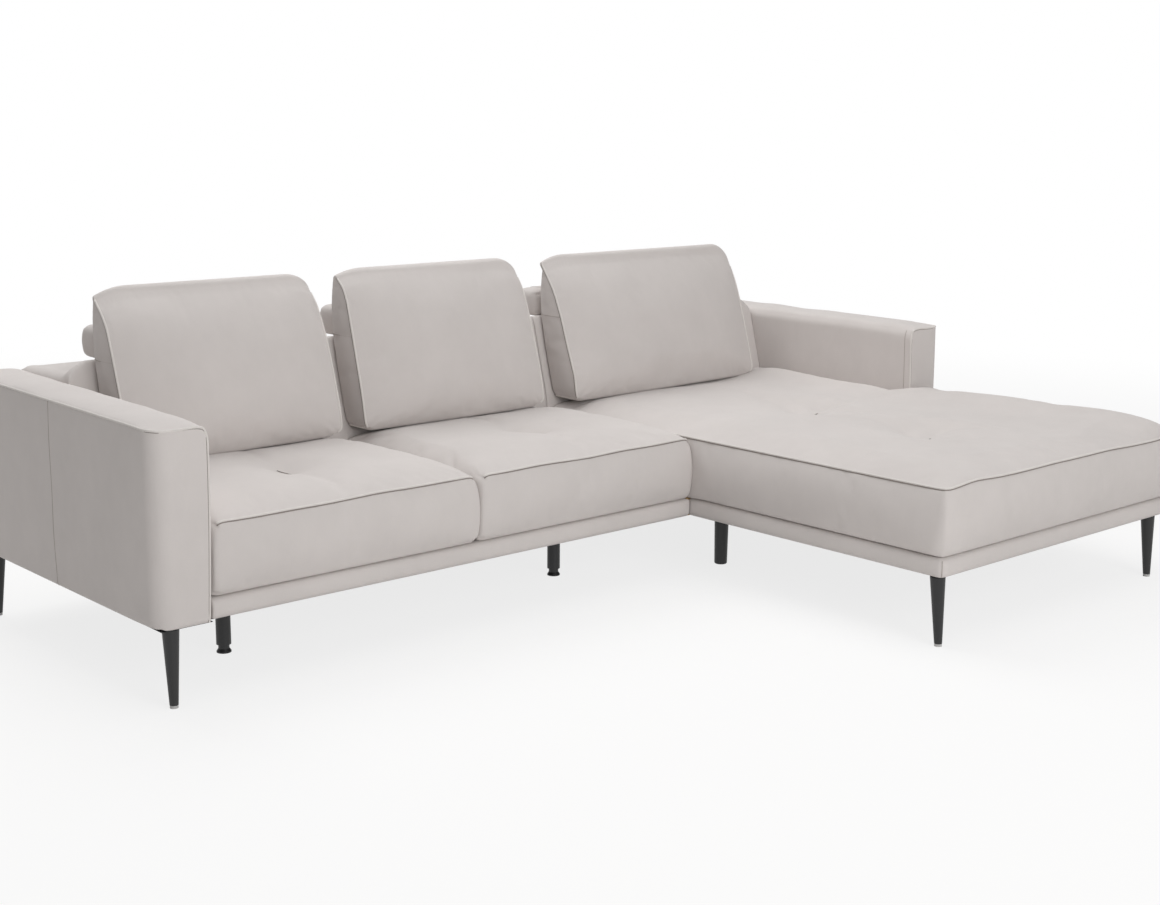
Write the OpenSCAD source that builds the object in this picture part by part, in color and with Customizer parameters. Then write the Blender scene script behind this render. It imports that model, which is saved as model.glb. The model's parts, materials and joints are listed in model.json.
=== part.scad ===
// Corner sofa: a two-seater with a left arm joined to a chaise with a right arm.
// Millimetres, Z up, seen from the front: X to the right, Y to the back.
// The origin is on the floor, under the middle of the sofa's outline.

/* [Overall] */
// Width of each arm
arm_w = 138; // [100:1:200]
// Width of each of the two seats
seat_w = 750; // [600:5:900]
// Width of the chaise with its arm
chaise_w = 1093; // [950:1:1300]
// Depth from the front of the seats to the back of the sofa
sofa_d = 950; // [880:5:1100]
// How far the chaise reaches in front of the seats
chaise_reach = 852; // [500:1:1000]
// Height of the upholstered body over the floor
leg_h = 179; // [150:1:220]
// Height of the padded base rail
rail_h = 51; // [45:1:70]
// Height of the arms over the underside of the body
arm_h = 449; // [380:1:500]
// Height of the fixed back over the underside of the body
back_h = 463; // [400:1:520]
// Gap between the two halves of the sofa
module_gap = 2; // [1:0.5:5]

/* [Seats] */
// Height of the piping over the base rail
seat_side_h = 175; // [140:1:200]
// Height of the crown over the piping
seat_crown = 25; // [10:1:35]
// How far the seat fronts swell over the base rail
seat_bulge = 10; // [4:1:16]
// Radius of the seat corners
seat_corner_r = 30; // [15:1:60]
// Depth of the seats in front of the fixed back
seat_d = 610; // [540:5:700]
// Depth of the sewn dimples
dimple_depth = 9; // [4:1:14]
// Reach of the sewn dimples
dimple_r = 55; // [30:1:90]
// Depth of the stitched line from a dimple to the front
crease_depth = 4; // [1:0.5:6]
// Half width of the stitched line's hollow
crease_reach = 30; // [15:1:50]
// Distance between the two dimples along the chaise
dimple_pitch = 420; // [300:5:500]
// Distance from the chaise's middle dimple to the one beside the arm
dimple_rear_pitch = 270; // [200:5:340]
// Clearance between a seat and its neighbours
seat_clear = 1; // [0.4:0.1:2]

/* [Fixed back] */
// Slope of the fixed back, as a share of its height
back_lean = 0.27; // [0.1:0.01:0.35]
// Thickness of the padding over arms and back
pad_t = 25; // [15:1:40]
// Radius of the fixed back's top edges
back_edge_r = 22; // [10:1:35]
// How much higher the padded front edge of the back stands
back_lip_h = 26; // [16:1:28]
// Depth of that raised front edge
back_lip_d = 40; // [34:1:48]
// Thickness of the skirt that covers the back of the base
skirt_t = 15; // [8:1:25]

/* [Arms] */
// Radius of the arm's outer front corner
arm_outer_r = 45; // [20:1:65]
// Radius of the arm's inner front corner
arm_inner_r = 14; // [5:1:30]
// How far the arm fronts stand in front of the base rail
arm_front = 10; // [0:1:30]

/* [Back cushions] */
// Width of the cushion over the left seat
cushion_w = 614; // [560:1:720]
// Width of the cushion over the middle seat
middle_cushion_w = 628; // [560:1:720]
// Width of the cushion over the chaise
chaise_cushion_w = 804; // [650:1:900]
// Height of the cushions
cushion_h = 408; // [350:1:450]
// Offset of the left cushion from the left side of its seat
cushion_offset = 75; // [20:1:110]
// Offset of the middle cushion from the left side of its seat
middle_cushion_offset = 25; // [20:1:110]
// Offset of the chaise cushion from the left side of the chaise
chaise_cushion_offset = 25; // [20:1:120]
// Thickness of the cushion's side at the bottom
cushion_side_t = 75; // [60:1:100]
// Extra thickness of the cushion's side half way up
cushion_belly = 25; // [0:1:40]
// Crown of the cushion's front
cushion_crown = 34; // [15:1:50]
// How far the cushion's front edge moves back at the top
cushion_thin_front = 30; // [10:1:40]
// How far the cushion's rear face comes forward at the top
cushion_thin_rear = 15; // [0:1:25]
// How far the cushion's top swells between its faces
cushion_top_swell = 14; // [4:1:20]
// How far the cushion's sides swell between its faces
cushion_side_swell = 6; // [2:1:12]
// Radius of the cushion's top corners
cushion_top_r = 90; // [50:1:120]
// Radius of the cushion's bottom corners
cushion_bottom_r = 30; // [15:1:50]
// Clearance between a loose cushion and what it rests on
cushion_clear = 0.4; // [0.3:0.1:1]

/* [Headrests] */
// Width of the headrest over each of the two seats
headrest_w = 630; // [500:1:700]
// Width of the headrest over the chaise
chaise_headrest_w = 780; // [600:1:880]
// Offset of the left headrest from the left side of its seat
headrest_offset = 92; // [60:1:110]
// Offset of the middle headrest from the left side of its seat
middle_headrest_offset = 58; // [30:1:110]
// Offset of the chaise headrest from the left side of the chaise
chaise_headrest_offset = 24; // [10:1:80]
// Depth of a headrest from front to back
headrest_d = 112; // [108:1:160]
// Height of the headrest's flat underside over the fixed back
headrest_gap = 34; // [34:0.5:50]
// Height of a headrest over its flat underside
headrest_t = 77; // [70:1:105]
// Height of a headrest's rounded side
headrest_side_h = 30; // [20:1:40]
// How far a headrest's side swells
headrest_swell = 6; // [3:0.5:9]
// How much lower than the middle a headrest's side lies
headrest_side_drop = 5; // [0:0.5:8]
// Radius of a headrest's corners, seen from above
headrest_corner_r = 30; // [15:1:45]
// Height of the tilt axis over the fixed back
pivot_h = 17; // [16:0.5:24]
// Clearance between a headrest and the cushion in front of it
headrest_clear = 1; // [0.5:0.1:3]
// Thickness of the board inside a headrest
core_t = 18; // [12:1:22]
// Depth of the board inside a headrest
core_d = 52; // [48:1:66]
// Distance from the board's end to the headrest's end
core_inset = 70; // [50:1:120]
// Distance from a fitting to the headrest's end
fitting_inset = 140; // [110:1:180]

/* [Tilt fittings] */
// Thickness of the fitting's plates
plate_t = 5; // [4:0.5:6]
// Width of the fitting's plates
plate_w = 40; // [34:1:46]
// How deep the fixed plate reaches into the back
plate_depth = 110; // [90:1:140]
// Diameter of the pivot pin
pin_d = 8; // [6:0.5:10]
// Radial clearance of the pivot pin
pin_clear = 0.1; // [0.05:0.01:0.2]
// Gap between the fixed and the moving plate
plate_gap = 0.5; // [0.3:0.1:1]
// Radius of the rounded ends of both plates
arm_end_r = 14; // [12:0.5:14]
// Thickness of the flange under the headrest
flange_t = 4; // [3:0.5:5]
// Side of the square flange under the headrest
flange_w = 46; // [40:1:60]
// Diameter of the bolts that hold the fixed plates
bolt_d = 6; // [5:0.5:8]
// Distance between the two bolts of a plate
bolt_pitch = 50; // [40:1:60]
// Distance from a plate's lower end to its first bolt
bolt_inset = 20; // [14:1:26]
// Height of the bolt heads
bolt_head_h = 3; // [2:0.5:4]
// Height of the pin heads
pin_head_h = 3; // [2:0.5:4]
// Diameter of the pin heads
pin_head_d = 15; // [12:0.5:18]
// Clearance between the padding and a fixed plate
slot_clear = 0.5; // [0.3:0.1:1.5]

/* [Frame] */
// Thickness of the frame's boards
board_t = 22; // [18:1:28]
// Depth of the padded base rail
rail_d = 40; // [30:1:50]
// Radius of the padded base rail's edges
rail_r = 17; // [8:1:22]
// Thickness of the cloth under the body
cloth_t = 1; // [0.8:0.1:2]
// Distance from the cloth's edge to the outside of the arms and the back
cloth_inset = 12; // [8:1:20]
// Distance from the cloth's edge to the face of the padded base rails
cloth_rail_inset = 20; // [16:1:26]
// Width of the frame's back rails, arm rails and support beams
slat_w = 60; // [55:1:80]
// Height of the blocks over the legs under the arms
block_h = 40; // [30:1:60]

/* [Springs] */
// Diameter of the spring wire
wire_d = 4; // [3:0.1:5]
// Number of springs under the two seats
seat_springs = 10; // [6:1:14]
// Number of springs under the chaise
chaise_springs = 10; // [6:1:14]
// Radius of the bends in the spring wire
bend_r = 22; // [16:1:28]
// Half of the straight stretch between two bends
spring_half = 26; // [18:1:32]
// Distance from a spring's end to the board behind it
spring_edge = 14; // [10:1:20]
// Depth of the springs' middle line under the seat
spring_drop = 6; // [4:0.5:8]
// Length of a spring's clips
clip_l = 16; // [12:1:24]
// Wall of a spring's clips round the wire
clip_wall = 2; // [1.5:0.5:3]
// Clearance between a clip and the wire
clip_clear = 0.2; // [0.1:0.1:0.5]

/* [Leg places] */
// Distance from the arm's outer side to the corner legs' middles
leg_side_inset = 42; // [30:1:70]
// Distance from the arm's front to the front leg's middle
leg_front_inset = 27; // [20:1:60]
// Distance from the sofa's back to the rear legs' middles
leg_rear_inset = 34; // [30:1:70]
// Distance from the chaise's left side to its front left leg's middle
chaise_leg_left = 28; // [25:1:80]
// Distance from the chaise's right side to its front right leg's middle
chaise_leg_right = 73; // [30:1:120]
// Distance from the chaise's front to its front legs' middles
chaise_leg_front = 33; // [25:1:60]
// Distance from the left arm to the left support leg
support_left = 183; // [120:1:300]
// Distance from the joint of the two halves to the right support leg
support_right = 260; // [120:1:320]
// Distance from the front of the seats to the support legs
support_front = 280; // [150:1:350]
// Distance from the sofa's back to the rear support leg and the rear middle leg
support_rear = 90; // [60:1:150]
// Distance from the joint of the two halves to the middle legs
middle_leg_side = 191; // [120:1:300]
// Distance from the front of the seats to the front middle leg
middle_leg_front = 58; // [35:1:150]

/* [Legs] */
// Diameter of a tapered leg at the top
taper_top_d = 38; // [30:1:48]
// Diameter of a tapered leg at the bottom
taper_bottom_d = 20; // [16:1:28]
// Height of the glides under the tapered legs
glide_h = 7; // [5:1:10]
// Thickness of the mounting plates
mount_t = 3; // [2:0.5:4]
// Diameter of the screws in the mounting plates
screw_d = 4; // [3:0.5:5]
// Length of the screws above the mounting plates
screw_l = 16; // [12:1:18]
// Height of the screw heads
screw_head_h = 1; // [0.8:0.1:1.5]
// Diameter of the screw heads
screw_head_d = 6; // [5:0.5:7]
// Distance from a mounting plate's edge to its screws
screw_inset = 3.5; // [3:0.1:5]
// Clearance between a leg and the screw heads beside it
screw_clear = 0.3; // [0.2:0.1:1]
// Distance between the two screws beside a leg
screw_spread = 14; // [10:1:20]
// Distance from these two screws to the third one
screw_pitch = 16; // [12:1:24]
// How much narrower than the leg a glide is
glide_step = 1; // [0.5:0.5:3]
// Diameter of a glide's stem
stem_d = 8; // [6:0.5:10]
// Length of a glide's stem
stem_l = 15; // [10:1:20]
// Clearance round a glide's stem
stem_clear = 0.1; // [0.05:0.05:0.3]
// Diameter of the straight support legs
support_d = 36; // [30:1:44]
// Height of the levelling feet
foot_h = 20; // [16:1:26]
// Diameter of the levelling feet
foot_d = 36; // [28:1:42]
// Diameter of the neck of a levelling foot
neck_d = 27; // [18:1:28]
// Diameter of the threaded spindle of a levelling foot
spindle_d = 10; // [8:1:12]
// How far a levelling foot screws out
foot_travel = 12; // [8:1:15]
// Length of spindle that stays in the leg when the foot is screwed out
spindle_grip = 23; // [18:1:35]
// Height of a levelling foot's flared base
foot_base_h = 10; // [5:0.5:12]
// Clearance of a levelling foot to its leg
foot_clear = 0.3; // [0.2:0.1:0.6]
// Diameter of the plain middle legs at the bottom
middle_leg_d = 37; // [30:1:44]
// Diameter of the plain middle legs at the top
middle_leg_top_d = 42; // [34:1:48]
// Radius of the plain middle legs' bottom edge
middle_leg_r = 4; // [2:0.5:6]

/* [Connectors] */
// Thickness of the steel connector plates
hook_t = 4; // [3:0.5:5]
// Length of the connector plates
hook_l = 90; // [70:1:110]
// Width of the hook's tongue
hook_w = 34; // [28:1:40]
// Diameter of the connector studs
stud_d = 10; // [8:0.5:12]
// Length of the connector studs
stud_l = 9; // [8.5:0.5:12]
// Distance from the joint to the connector studs
stud_inset = 24; // [20:1:28]
// Length of the plates' screwed part beyond the height of a tongue
hook_extra = 8; // [4:1:16]
// Distance from the front of the seats to the front connector
hook_front = 250; // [200:1:350]
// Distance from the sofa's back to the rear connector
hook_rear = 240; // [180:1:320]
// Clearance in the connectors
hook_clear = 0.3; // [0.2:0.1:0.6]

/* [Hidden] */

fabric = "#d3cdc8";
fabric_side = "#bcb5af";
steel_black = "#2e2e2e";
steel_bare = "#a9adb0";
timber = "#c8a878";
plastic_grey = "#b9babb";
cloth_black = "#3a3a3c";
eps = 0.01;

// Plan of the whole sofa
overall_w = arm_w + 2 * seat_w + chaise_w;
overall_d = sofa_d + chaise_reach + seat_bulge;
x_left = -overall_w / 2;
x_seat = x_left + arm_w;
x_middle = x_seat + seat_w;
x_joint = x_middle + seat_w;
x_right = overall_w / 2;
x_arm = x_right - arm_w;
y_rear = overall_d / 2;
y_seat = y_rear - sofa_d;
y_chaise = y_seat - chaise_reach;
y_back = y_seat + seat_d;

// Heights
rail_top = leg_h + rail_h;
seat_edge_z = rail_top + seat_side_h;
seat_top_z = seat_edge_z + seat_crown;
arm_top = leg_h + arm_h;
back_top = leg_h + back_h;
cloth_z = leg_h - cloth_t;
board_z = leg_h;
leg_top_z = cloth_z - mount_t;
cushion_z = seat_top_z + cushion_clear;
pivot_z = back_top + pivot_h;
headrest_z = back_top + headrest_gap;

// Front face of the fixed back at a height: upright up to the seat, then leaning
function back_face_y(z) = y_back + back_lean * max(z - seat_top_z, 0);

// Headrests stand right behind the leaning cushions
headrest_mid_z = headrest_z + headrest_t / 2;
headrest_y = back_face_y(headrest_mid_z) + headrest_clear + headrest_d / 2;
pivot_y = headrest_y;

// Each headrest and each back cushion: left side and width
HEADRESTS = [[x_seat + headrest_offset, headrest_w],
  [x_middle + middle_headrest_offset, headrest_w],
  [x_joint + chaise_headrest_offset, chaise_headrest_w]];
CUSHIONS = [[x_seat + cushion_offset, cushion_w],
  [x_middle + middle_cushion_offset, middle_cushion_w],
  [x_joint + chaise_cushion_offset, chaise_cushion_w]];

// Each tapered leg: top centre, the direction of its upright side and the
// direction in which its mounting plate reaches inward
taper_shift = (taper_top_d - taper_bottom_d) / 2;
TAPERED = [[x_left + leg_side_inset, y_seat - arm_front + leg_front_inset, -112, 45],
  [x_left + leg_side_inset, y_rear - leg_rear_inset, 135, -45],
  [x_right - leg_side_inset, y_rear - leg_rear_inset, 45, -135],
  [x_joint + module_gap + chaise_leg_left, y_chaise + chaise_leg_front, -42, 45],
  [x_right - seat_bulge - chaise_leg_right, y_chaise + chaise_leg_front, -42, 90]];
// Each straight support leg and each plain middle leg: centre
SUPPORTS = [[x_seat + support_left, y_seat + support_front],
  [x_joint - support_right, y_seat + support_front],
  [x_joint - support_right, y_rear - support_rear]];
MIDDLES = [[x_joint + middle_leg_side, y_seat + middle_leg_front],
  [x_joint + middle_leg_side, y_rear - support_rear]];

// Soft forms.
// A soft form is a grid of points over a plan with rounded corners, a grid
// below it or a flat underside, and swelling sides between the two.

// Evenly spaced plan lines with two closer lines at each end for the corner
function plan_lines(a, r, n) = concat([-a, -a + 0.35 * r, -a + r],
  [for (i = [1 : n - 1]) -a + r + i * (2 * a - 2 * r) / n], [a - r, a - 0.35 * r, a]);
// How far a coordinate lies in the corner zone, from 0 to 1
function corner_part(t, a, r) = max(abs(t) - (a - r), 0) / r;
// A plan point moved onto the rounded corner
function corner_point(x, y, a, b, r) =
  let (dx = corner_part(x, a, r), dy = corner_part(y, b, r))
  [sign(x) * (min(abs(x), a - r) + r * dx * sqrt(1 - dy * dy / 2)),
   sign(y) * (min(abs(y), b - r) + r * dy * sqrt(1 - dx * dx / 2))];
// The outward direction at a plan point on the rim
function rim_normal(x, y, a, b, r) =
  let (n = [sign(x) * corner_part(x, a, r), sign(y) * corner_part(y, b, r)])
  norm(n) < eps ? [0, 0] : n / norm(n);
// Grid indices round the rim, anticlockwise from the front left; a notch takes
// away the rear right corner beyond column k and row m
function rim_path(nx, ny, k, m) = concat([for (i = [0 : nx - 1]) [i, 0]],
  [for (j = [0 : m - 1]) [nx, j]], [for (i = [nx : -1 : k + 1]) [i, m]],
  [for (j = [m : ny - 1]) [k, j]], [for (i = [k : -1 : 1]) [i, ny]],
  [for (j = [ny : -1 : 1]) [0, j]]);

// top(x, y) and low(x, y) give the heights, swell(x, y, s) the outward swell of
// the side at the share s of its height, place(p) the final position
module soft_form(a, b, radius, xs, ys, top, low, swell, place, bands = 4,
    flat_low = true, notch = undef) {
  nx = len(xs) - 1;
  ny = len(ys) - 1;
  k = is_undef(notch) ? nx : notch[0];
  m = is_undef(notch) ? ny : notch[1];
  count = (nx + 1) * (ny + 1);
  rim = rim_path(nx, ny, k, m);
  loop = len(rim);
  upper = [for (y = ys) for (x = xs) let (p = corner_point(x, y, a, b, radius(x, y)))
    [p.x, p.y, top(p.x, p.y)]];
  lower = [for (y = ys) for (x = xs) let (p = corner_point(x, y, a, b, radius(x, y)))
    [p.x, p.y, low(p.x, p.y)]];
  sides = [for (s = [1 : bands - 1]) for (g = rim)
    let (x = xs[g[0]], y = ys[g[1]], r = radius(x, y), p = corner_point(x, y, a, b, r),
      n = rim_normal(x, y, a, b, r), share = s / bands, out = swell(p.x, p.y, share),
      z = low(p.x, p.y) + share * (top(p.x, p.y) - low(p.x, p.y)))
    [p.x + out * n.x, p.y + out * n.y, z]];
  hub = [[xs[floor(k / 2)], ys[floor(m / 2)], low(0, 0)]];
  used = function (i, j) i < k || j < m;
  at = function (g) g[1] * (nx + 1) + g[0];
  side = function (s, i) s == 0 ? count + at(rim[i % loop])
    : s == bands ? at(rim[i % loop]) : 2 * count + (s - 1) * loop + i % loop;
  up_faces = [for (j = [0 : ny - 1]) for (i = [0 : nx - 1]) if (used(i, j))
    let (q = j * (nx + 1) + i) each [[q, q + nx + 2, q + 1], [q, q + nx + 1, q + nx + 2]]];
  low_faces = flat_low
    ? [for (i = [0 : loop - 1]) [side(0, i), side(0, i + 1), len(upper) * 2 + len(sides)]]
    : [for (j = [0 : ny - 1]) for (i = [0 : nx - 1]) if (used(i, j))
      let (q = count + j * (nx + 1) + i)
      each [[q, q + 1, q + nx + 2], [q, q + nx + 2, q + nx + 1]]];
  side_faces = [for (s = [0 : bands - 1]) for (i = [0 : loop - 1])
    each [[side(s, i), side(s + 1, i), side(s + 1, i + 1)],
      [side(s, i), side(s + 1, i + 1), side(s, i + 1)]]];
  polyhedron([for (p = concat(upper, lower, sides, hub)) place(p)],
    concat(up_faces, low_faces, side_faces));
}

// Depth of a sewn dimple at a distance from its centre
function dimple(x, y, cx, cy) =
  dimple_depth * exp(-((x - cx) * (x - cx) + (y - cy) * (y - cy)) / (dimple_r * dimple_r));
// A rise from 0 at the rim to 1 inside, over a plan half size
function crown_rise(t, half, power) = 1 - pow(min(abs(t) / half, 1), power);

// One of the two seats: crown, dimple in the middle, stitched line to the front
module seat_form(x0, w) {
  a = w / 2 - seat_clear;
  b = seat_d / 2 - seat_clear / 2;
  xs = concat([for (t = [-1, -0.93, -0.84, -0.62, -0.36, -0.14]) a * t], [0],
    [for (t = [0.14, 0.36, 0.62, 0.84, 0.93, 1]) a * t]);
  ys = concat([for (t = [-1, -0.93, -0.84, -0.64, -0.42, -0.2]) b * t], [0],
    [for (t = [0.2, 0.45, 0.75, 1]) b * t]);
  top = function (x, y) seat_edge_z + seat_crown * crown_rise(x, a, 9) *
    (y < 0 ? crown_rise(y, b, 5) : 1) - dimple(x, y, 0, 0) -
    (y < 0 ? crease_depth * exp(-x * x / (crease_reach * crease_reach)) * crown_rise(y, b, 5) : 0);
  low = function (x, y) rail_top;
  // Only the front swells, its corners half as much; the sides stay flat
  reach = 0.35 * seat_corner_r;
  swell = function (x, y, s) y > reach - b ? 0
    : (abs(x) > a - reach ? 0.5 : 1) * seat_bulge * sin(180 * s);
  place = function (p) p + [x0 + w / 2, y_seat + b, 0];
  soft_form(a, b, function (x, y) seat_corner_r, xs, ys, top, low, swell, place, 5);
}

// The chaise seat: it runs in front of the right arm and has three dimples
module chaise_form() {
  w = x_right - seat_bulge - x_joint - module_gap;
  d = y_back - y_chaise - seat_clear / 2;
  a = w / 2;
  b = d / 2;
  cx = x_joint + module_gap + a;
  cy = y_chaise + b;
  notch_x = x_arm - seat_clear - cx;
  notch_y = y_seat - arm_front - seat_clear - cy;
  xs = [-a, -a + 18, -a + 45, -a + 0.28 * w, -0.1 * a, 0.08 * a, 0.24 * a, 0.45 * a, notch_x,
    a - 45, a - 18, a];
  k = 8;
  ys = concat([-b, -b + 18, -b + 45, -b + 0.13 * d, -b + 0.22 * d, -b + 0.29 * d,
    -b + 0.36 * d, -b + 0.46 * d, notch_y, notch_y + 0.08 * d, notch_y + 0.15 * d],
    [notch_y + 0.22 * d, notch_y + 0.31 * d, b]);
  m = 8;
  spots = [[-0.05 * w, notch_y], [-0.06 * w, notch_y - dimple_pitch],
    [0.01 * w, notch_y + dimple_rear_pitch]];
  top = function (x, y) seat_edge_z + seat_crown * crown_rise(x, a, 11) *
    (y < 0 ? crown_rise(y, b, 11) : 1) - dimple(x, y, spots[0].x, spots[0].y) -
    dimple(x, y, spots[1].x, spots[1].y) - dimple(x, y, spots[2].x, spots[2].y);
  low = function (x, y) rail_top;
  swell = function (x, y, s) (y > notch_y - 1 ? 0 : 1) * seat_bulge * sin(180 * s);
  place = function (p) p + [cx, cy, 0];
  soft_form(a, b, function (x, y) y > 0 ? 12 : seat_corner_r, xs, ys, top, low, swell, place,
    5, true, [k, m]);
}

// A loose back cushion: leaning, thick in the middle, thin soft top, flat underside
module back_cushion_form(spot) {
  a = spot[1] / 2;
  b = cushion_h / 2;
  late = function (v, from) max(v - from, 0) / (1 - from);
  front_side = function (v) cushion_side_t + cushion_belly * (1 - v * v) -
    cushion_thin_front * pow(late(v, 0.4), 2);
  rear = function (x, y) cushion_thin_rear * pow(late(y / b, 0.6), 2);
  front = function (x, y) front_side(y / b) +
    cushion_crown * crown_rise(x, a, 4) * crown_rise(y, b, 4);
  swell = function (x, y, s) sin(180 * s) * (y > b - cushion_top_r ? cushion_top_swell
    : y < -0.99 * b ? 0 : cushion_side_swell);
  place = function (p) let (z = cushion_z + b + p.y)
    [spot[0] + a + p.x, back_face_y(z) - cushion_clear - p.z, z];
  soft_form(a, b, function (x, y) y > 0 ? cushion_top_r : cushion_bottom_r,
    plan_lines(a, cushion_top_r, 6), concat([-b, -b + 10, -b + cushion_bottom_r],
    [for (i = [1 : 4]) -b + cushion_bottom_r + i * (2 * b - cushion_bottom_r - cushion_top_r) / 5],
    [b - cushion_top_r, b - 0.6 * cushion_top_r, b - 0.25 * cushion_top_r, b]),
    front, rear, swell, place, 4, false);
}

// A padded headrest bar: rounded section and ends, flat strip below
module headrest_form(spot) {
  a = spot[1] / 2 - headrest_swell;
  b = headrest_d / 2 - headrest_swell;
  rim_t = headrest_side_h;
  rise = (headrest_t - rim_t) / 2;
  mid = headrest_z + rim_t / 2 + rise - headrest_side_drop;
  bow = function (x, y) crown_rise(y, b, 2.4) * crown_rise(x, a, 18);
  top = function (x, y) mid + rim_t / 2 + (headrest_z + headrest_t - mid - rim_t / 2) * bow(x, y);
  low = function (x, y) max(mid - rim_t / 2 - rise * bow(x, y), headrest_z);
  turn = 0.4 * headrest_corner_r;
  flat = 1.07 * headrest_corner_r;
  xs = concat([-a, -a + turn, -a + flat, -a + core_inset], [for (t = [-0.5, 0, 0.5]) a * t],
    [a - core_inset, a - flat, a - turn, a]);
  ys = [for (t = [-1, -0.85, -0.53, 0, 0.53, 0.85, 1]) b * t];
  swell = function (x, y, s) headrest_swell * sin(180 * s);
  place = function (p) p + [spot[0] + spot[1] / 2, headrest_y, 0];
  soft_form(a, b, function (x, y) headrest_corner_r, xs, ys, top, low, swell, place, 3, false);
}

// Upholstered arms

// Plan of an arm whose outer side is at x = 0 and whose front is at y = 0
module arm_plan(inset) {
  d = sofa_d + arm_front;
  ro = max(arm_outer_r - inset, 2);
  ri = max(arm_inner_r - inset, 2);
  difference() {
    translate([inset, inset]) square([arm_w - 2 * inset, d - 2 * inset]);
    translate([inset - eps, inset - eps]) square([ro + eps, ro + eps]);
    translate([arm_w - inset - ri, inset - eps]) square([ri + eps, ri + eps]);
  }
  translate([inset + ro, inset + ro]) circle(ro);
  translate([arm_w - inset - ri, inset + ri]) circle(ri);
}

// The arm's frame: blocks over the legs, uprights on them and rails between
module arm_boards() {
  d = sofa_d + arm_front;
  top = arm_top - pad_t;
  ends = [pad_t, d - pad_t - slat_w];
  for (y = ends) translate([0, 0, board_z]) linear_extrude(block_h) intersection() {
    arm_plan(pad_t);
    translate([0, y]) square([arm_w, slat_w]);
  }
  posts = [arm_outer_r, (d - board_t) / 2, d - pad_t - board_t];
  for (i = [0 : 2]) let (z = i == 1 ? board_z : board_z + block_h)
    translate([pad_t, posts[i], z]) cube([arm_w - 2 * pad_t, board_t, top - z]);
  for (z = [board_z, top - slat_w]) for (x = [pad_t, arm_w - pad_t - board_t]) for (i = [0, 1])
    let (y0 = z > board_z || i == 1 ? posts[i] + board_t : ends[0] + slat_w,
      y1 = z > board_z || i == 0 ? posts[i + 1] : ends[1])
    translate([x, y0, z]) cube([board_t, y1 - y0, slat_w]);
}

// A padded arm: closed outside, hollow round its frame, open below over the cloth
module arm_shell() {
  h = arm_top - leg_h;
  difference() {
    translate([0, 0, leg_h]) linear_extrude(h) arm_plan(0);
    translate([0, 0, leg_h - 1]) linear_extrude(h - pad_t + 1) arm_plan(pad_t);
  }
}

// The left arm has its outer side to the left
module place_left_arm() { translate([x_left, y_seat - arm_front, 0]) children(); }
// The right arm is its mirror image
module place_right_arm() {
  translate([x_right, y_seat - arm_front, 0]) mirror([1, 0, 0]) children();
}

module left_arm_upholstery() {
  color(fabric_side) difference() {
    place_left_arm() arm_shell();
    leg_screw_shanks();
  }
}
module right_arm_upholstery() {
  color(fabric_side) difference() {
    place_right_arm() arm_shell();
    leg_screw_shanks();
  }
}
module left_arm_frame() {
  color(timber) difference() {
    place_left_arm() arm_boards();
    leg_screw_shanks();
  }
}
module right_arm_frame() {
  color(timber) difference() {
    place_right_arm() arm_boards();
    leg_screw_shanks();
  }
}

// Fixed back

// Side outline of the back, drawn as [y, z]; the inset one is the space inside the padding
module back_outline(inset, drop = 0) {
  r = max(back_edge_r - inset, 2);
  top = back_top - inset;
  base = rail_top - drop;
  front = back_face_y(top) + inset * sqrt(1 + back_lean * back_lean);
  difference() {
    polygon([[y_back + inset, base], [y_back + inset, seat_top_z], [front, top],
      [y_rear - inset, top], [y_rear - inset, base]]);
    translate([y_rear - inset - r, top - r]) square([r + eps, r + eps]);
  }
  translate([y_rear - inset - r, top - r]) circle(r);
}

// Side outline of the raised front edge: it goes on with the face's lean, round at the rear
module back_lip() {
  r = back_lip_h / 2;
  top = back_top + back_lip_h;
  rear = back_face_y(back_top) + back_lip_d;
  difference() {
    polygon([[back_face_y(back_top - 1), back_top - 1], [back_face_y(top), top],
      [rear, top], [rear, back_top - 1]]);
    translate([rear - r, top - r]) square([r + eps, r + eps]);
  }
  translate([rear - r, top - r]) circle(r);
}

// Runs a [y, z] outline along X
module along_x(x0, x1) {
  translate([x0, 0, 0]) rotate([90, 0, 90]) linear_extrude(x1 - x0) children();
}

// Where each fixed fitting plate stands: its lower x side
function fitting_x(i) = [HEADRESTS[i][0] + fitting_inset,
  HEADRESTS[i][0] + HEADRESTS[i][1] - fitting_inset - plate_t];

// Slot in the padding for a fixed fitting plate
module fitting_slots(list) {
  for (i = list) for (x = fitting_x(i))
    translate([x - slot_clear, pivot_y - plate_w / 2 - slot_clear, back_top - pad_t - 1])
      cube([plate_t + 2 * slot_clear, plate_w + 2 * slot_clear, pad_t + 2]);
}

module back_shell(x0, x1, list) {
  difference() {
    union() {
      along_x(x0, x1) {
        back_outline(0);
        back_lip();
      }
      translate([x0, y_rear - skirt_t, leg_h]) cube([x1 - x0, skirt_t, rail_top - leg_h + eps]);
    }
    along_x(x0 + pad_t, x1 - pad_t) back_outline(pad_t, 1);
    fitting_slots(list);
  }
}

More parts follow.
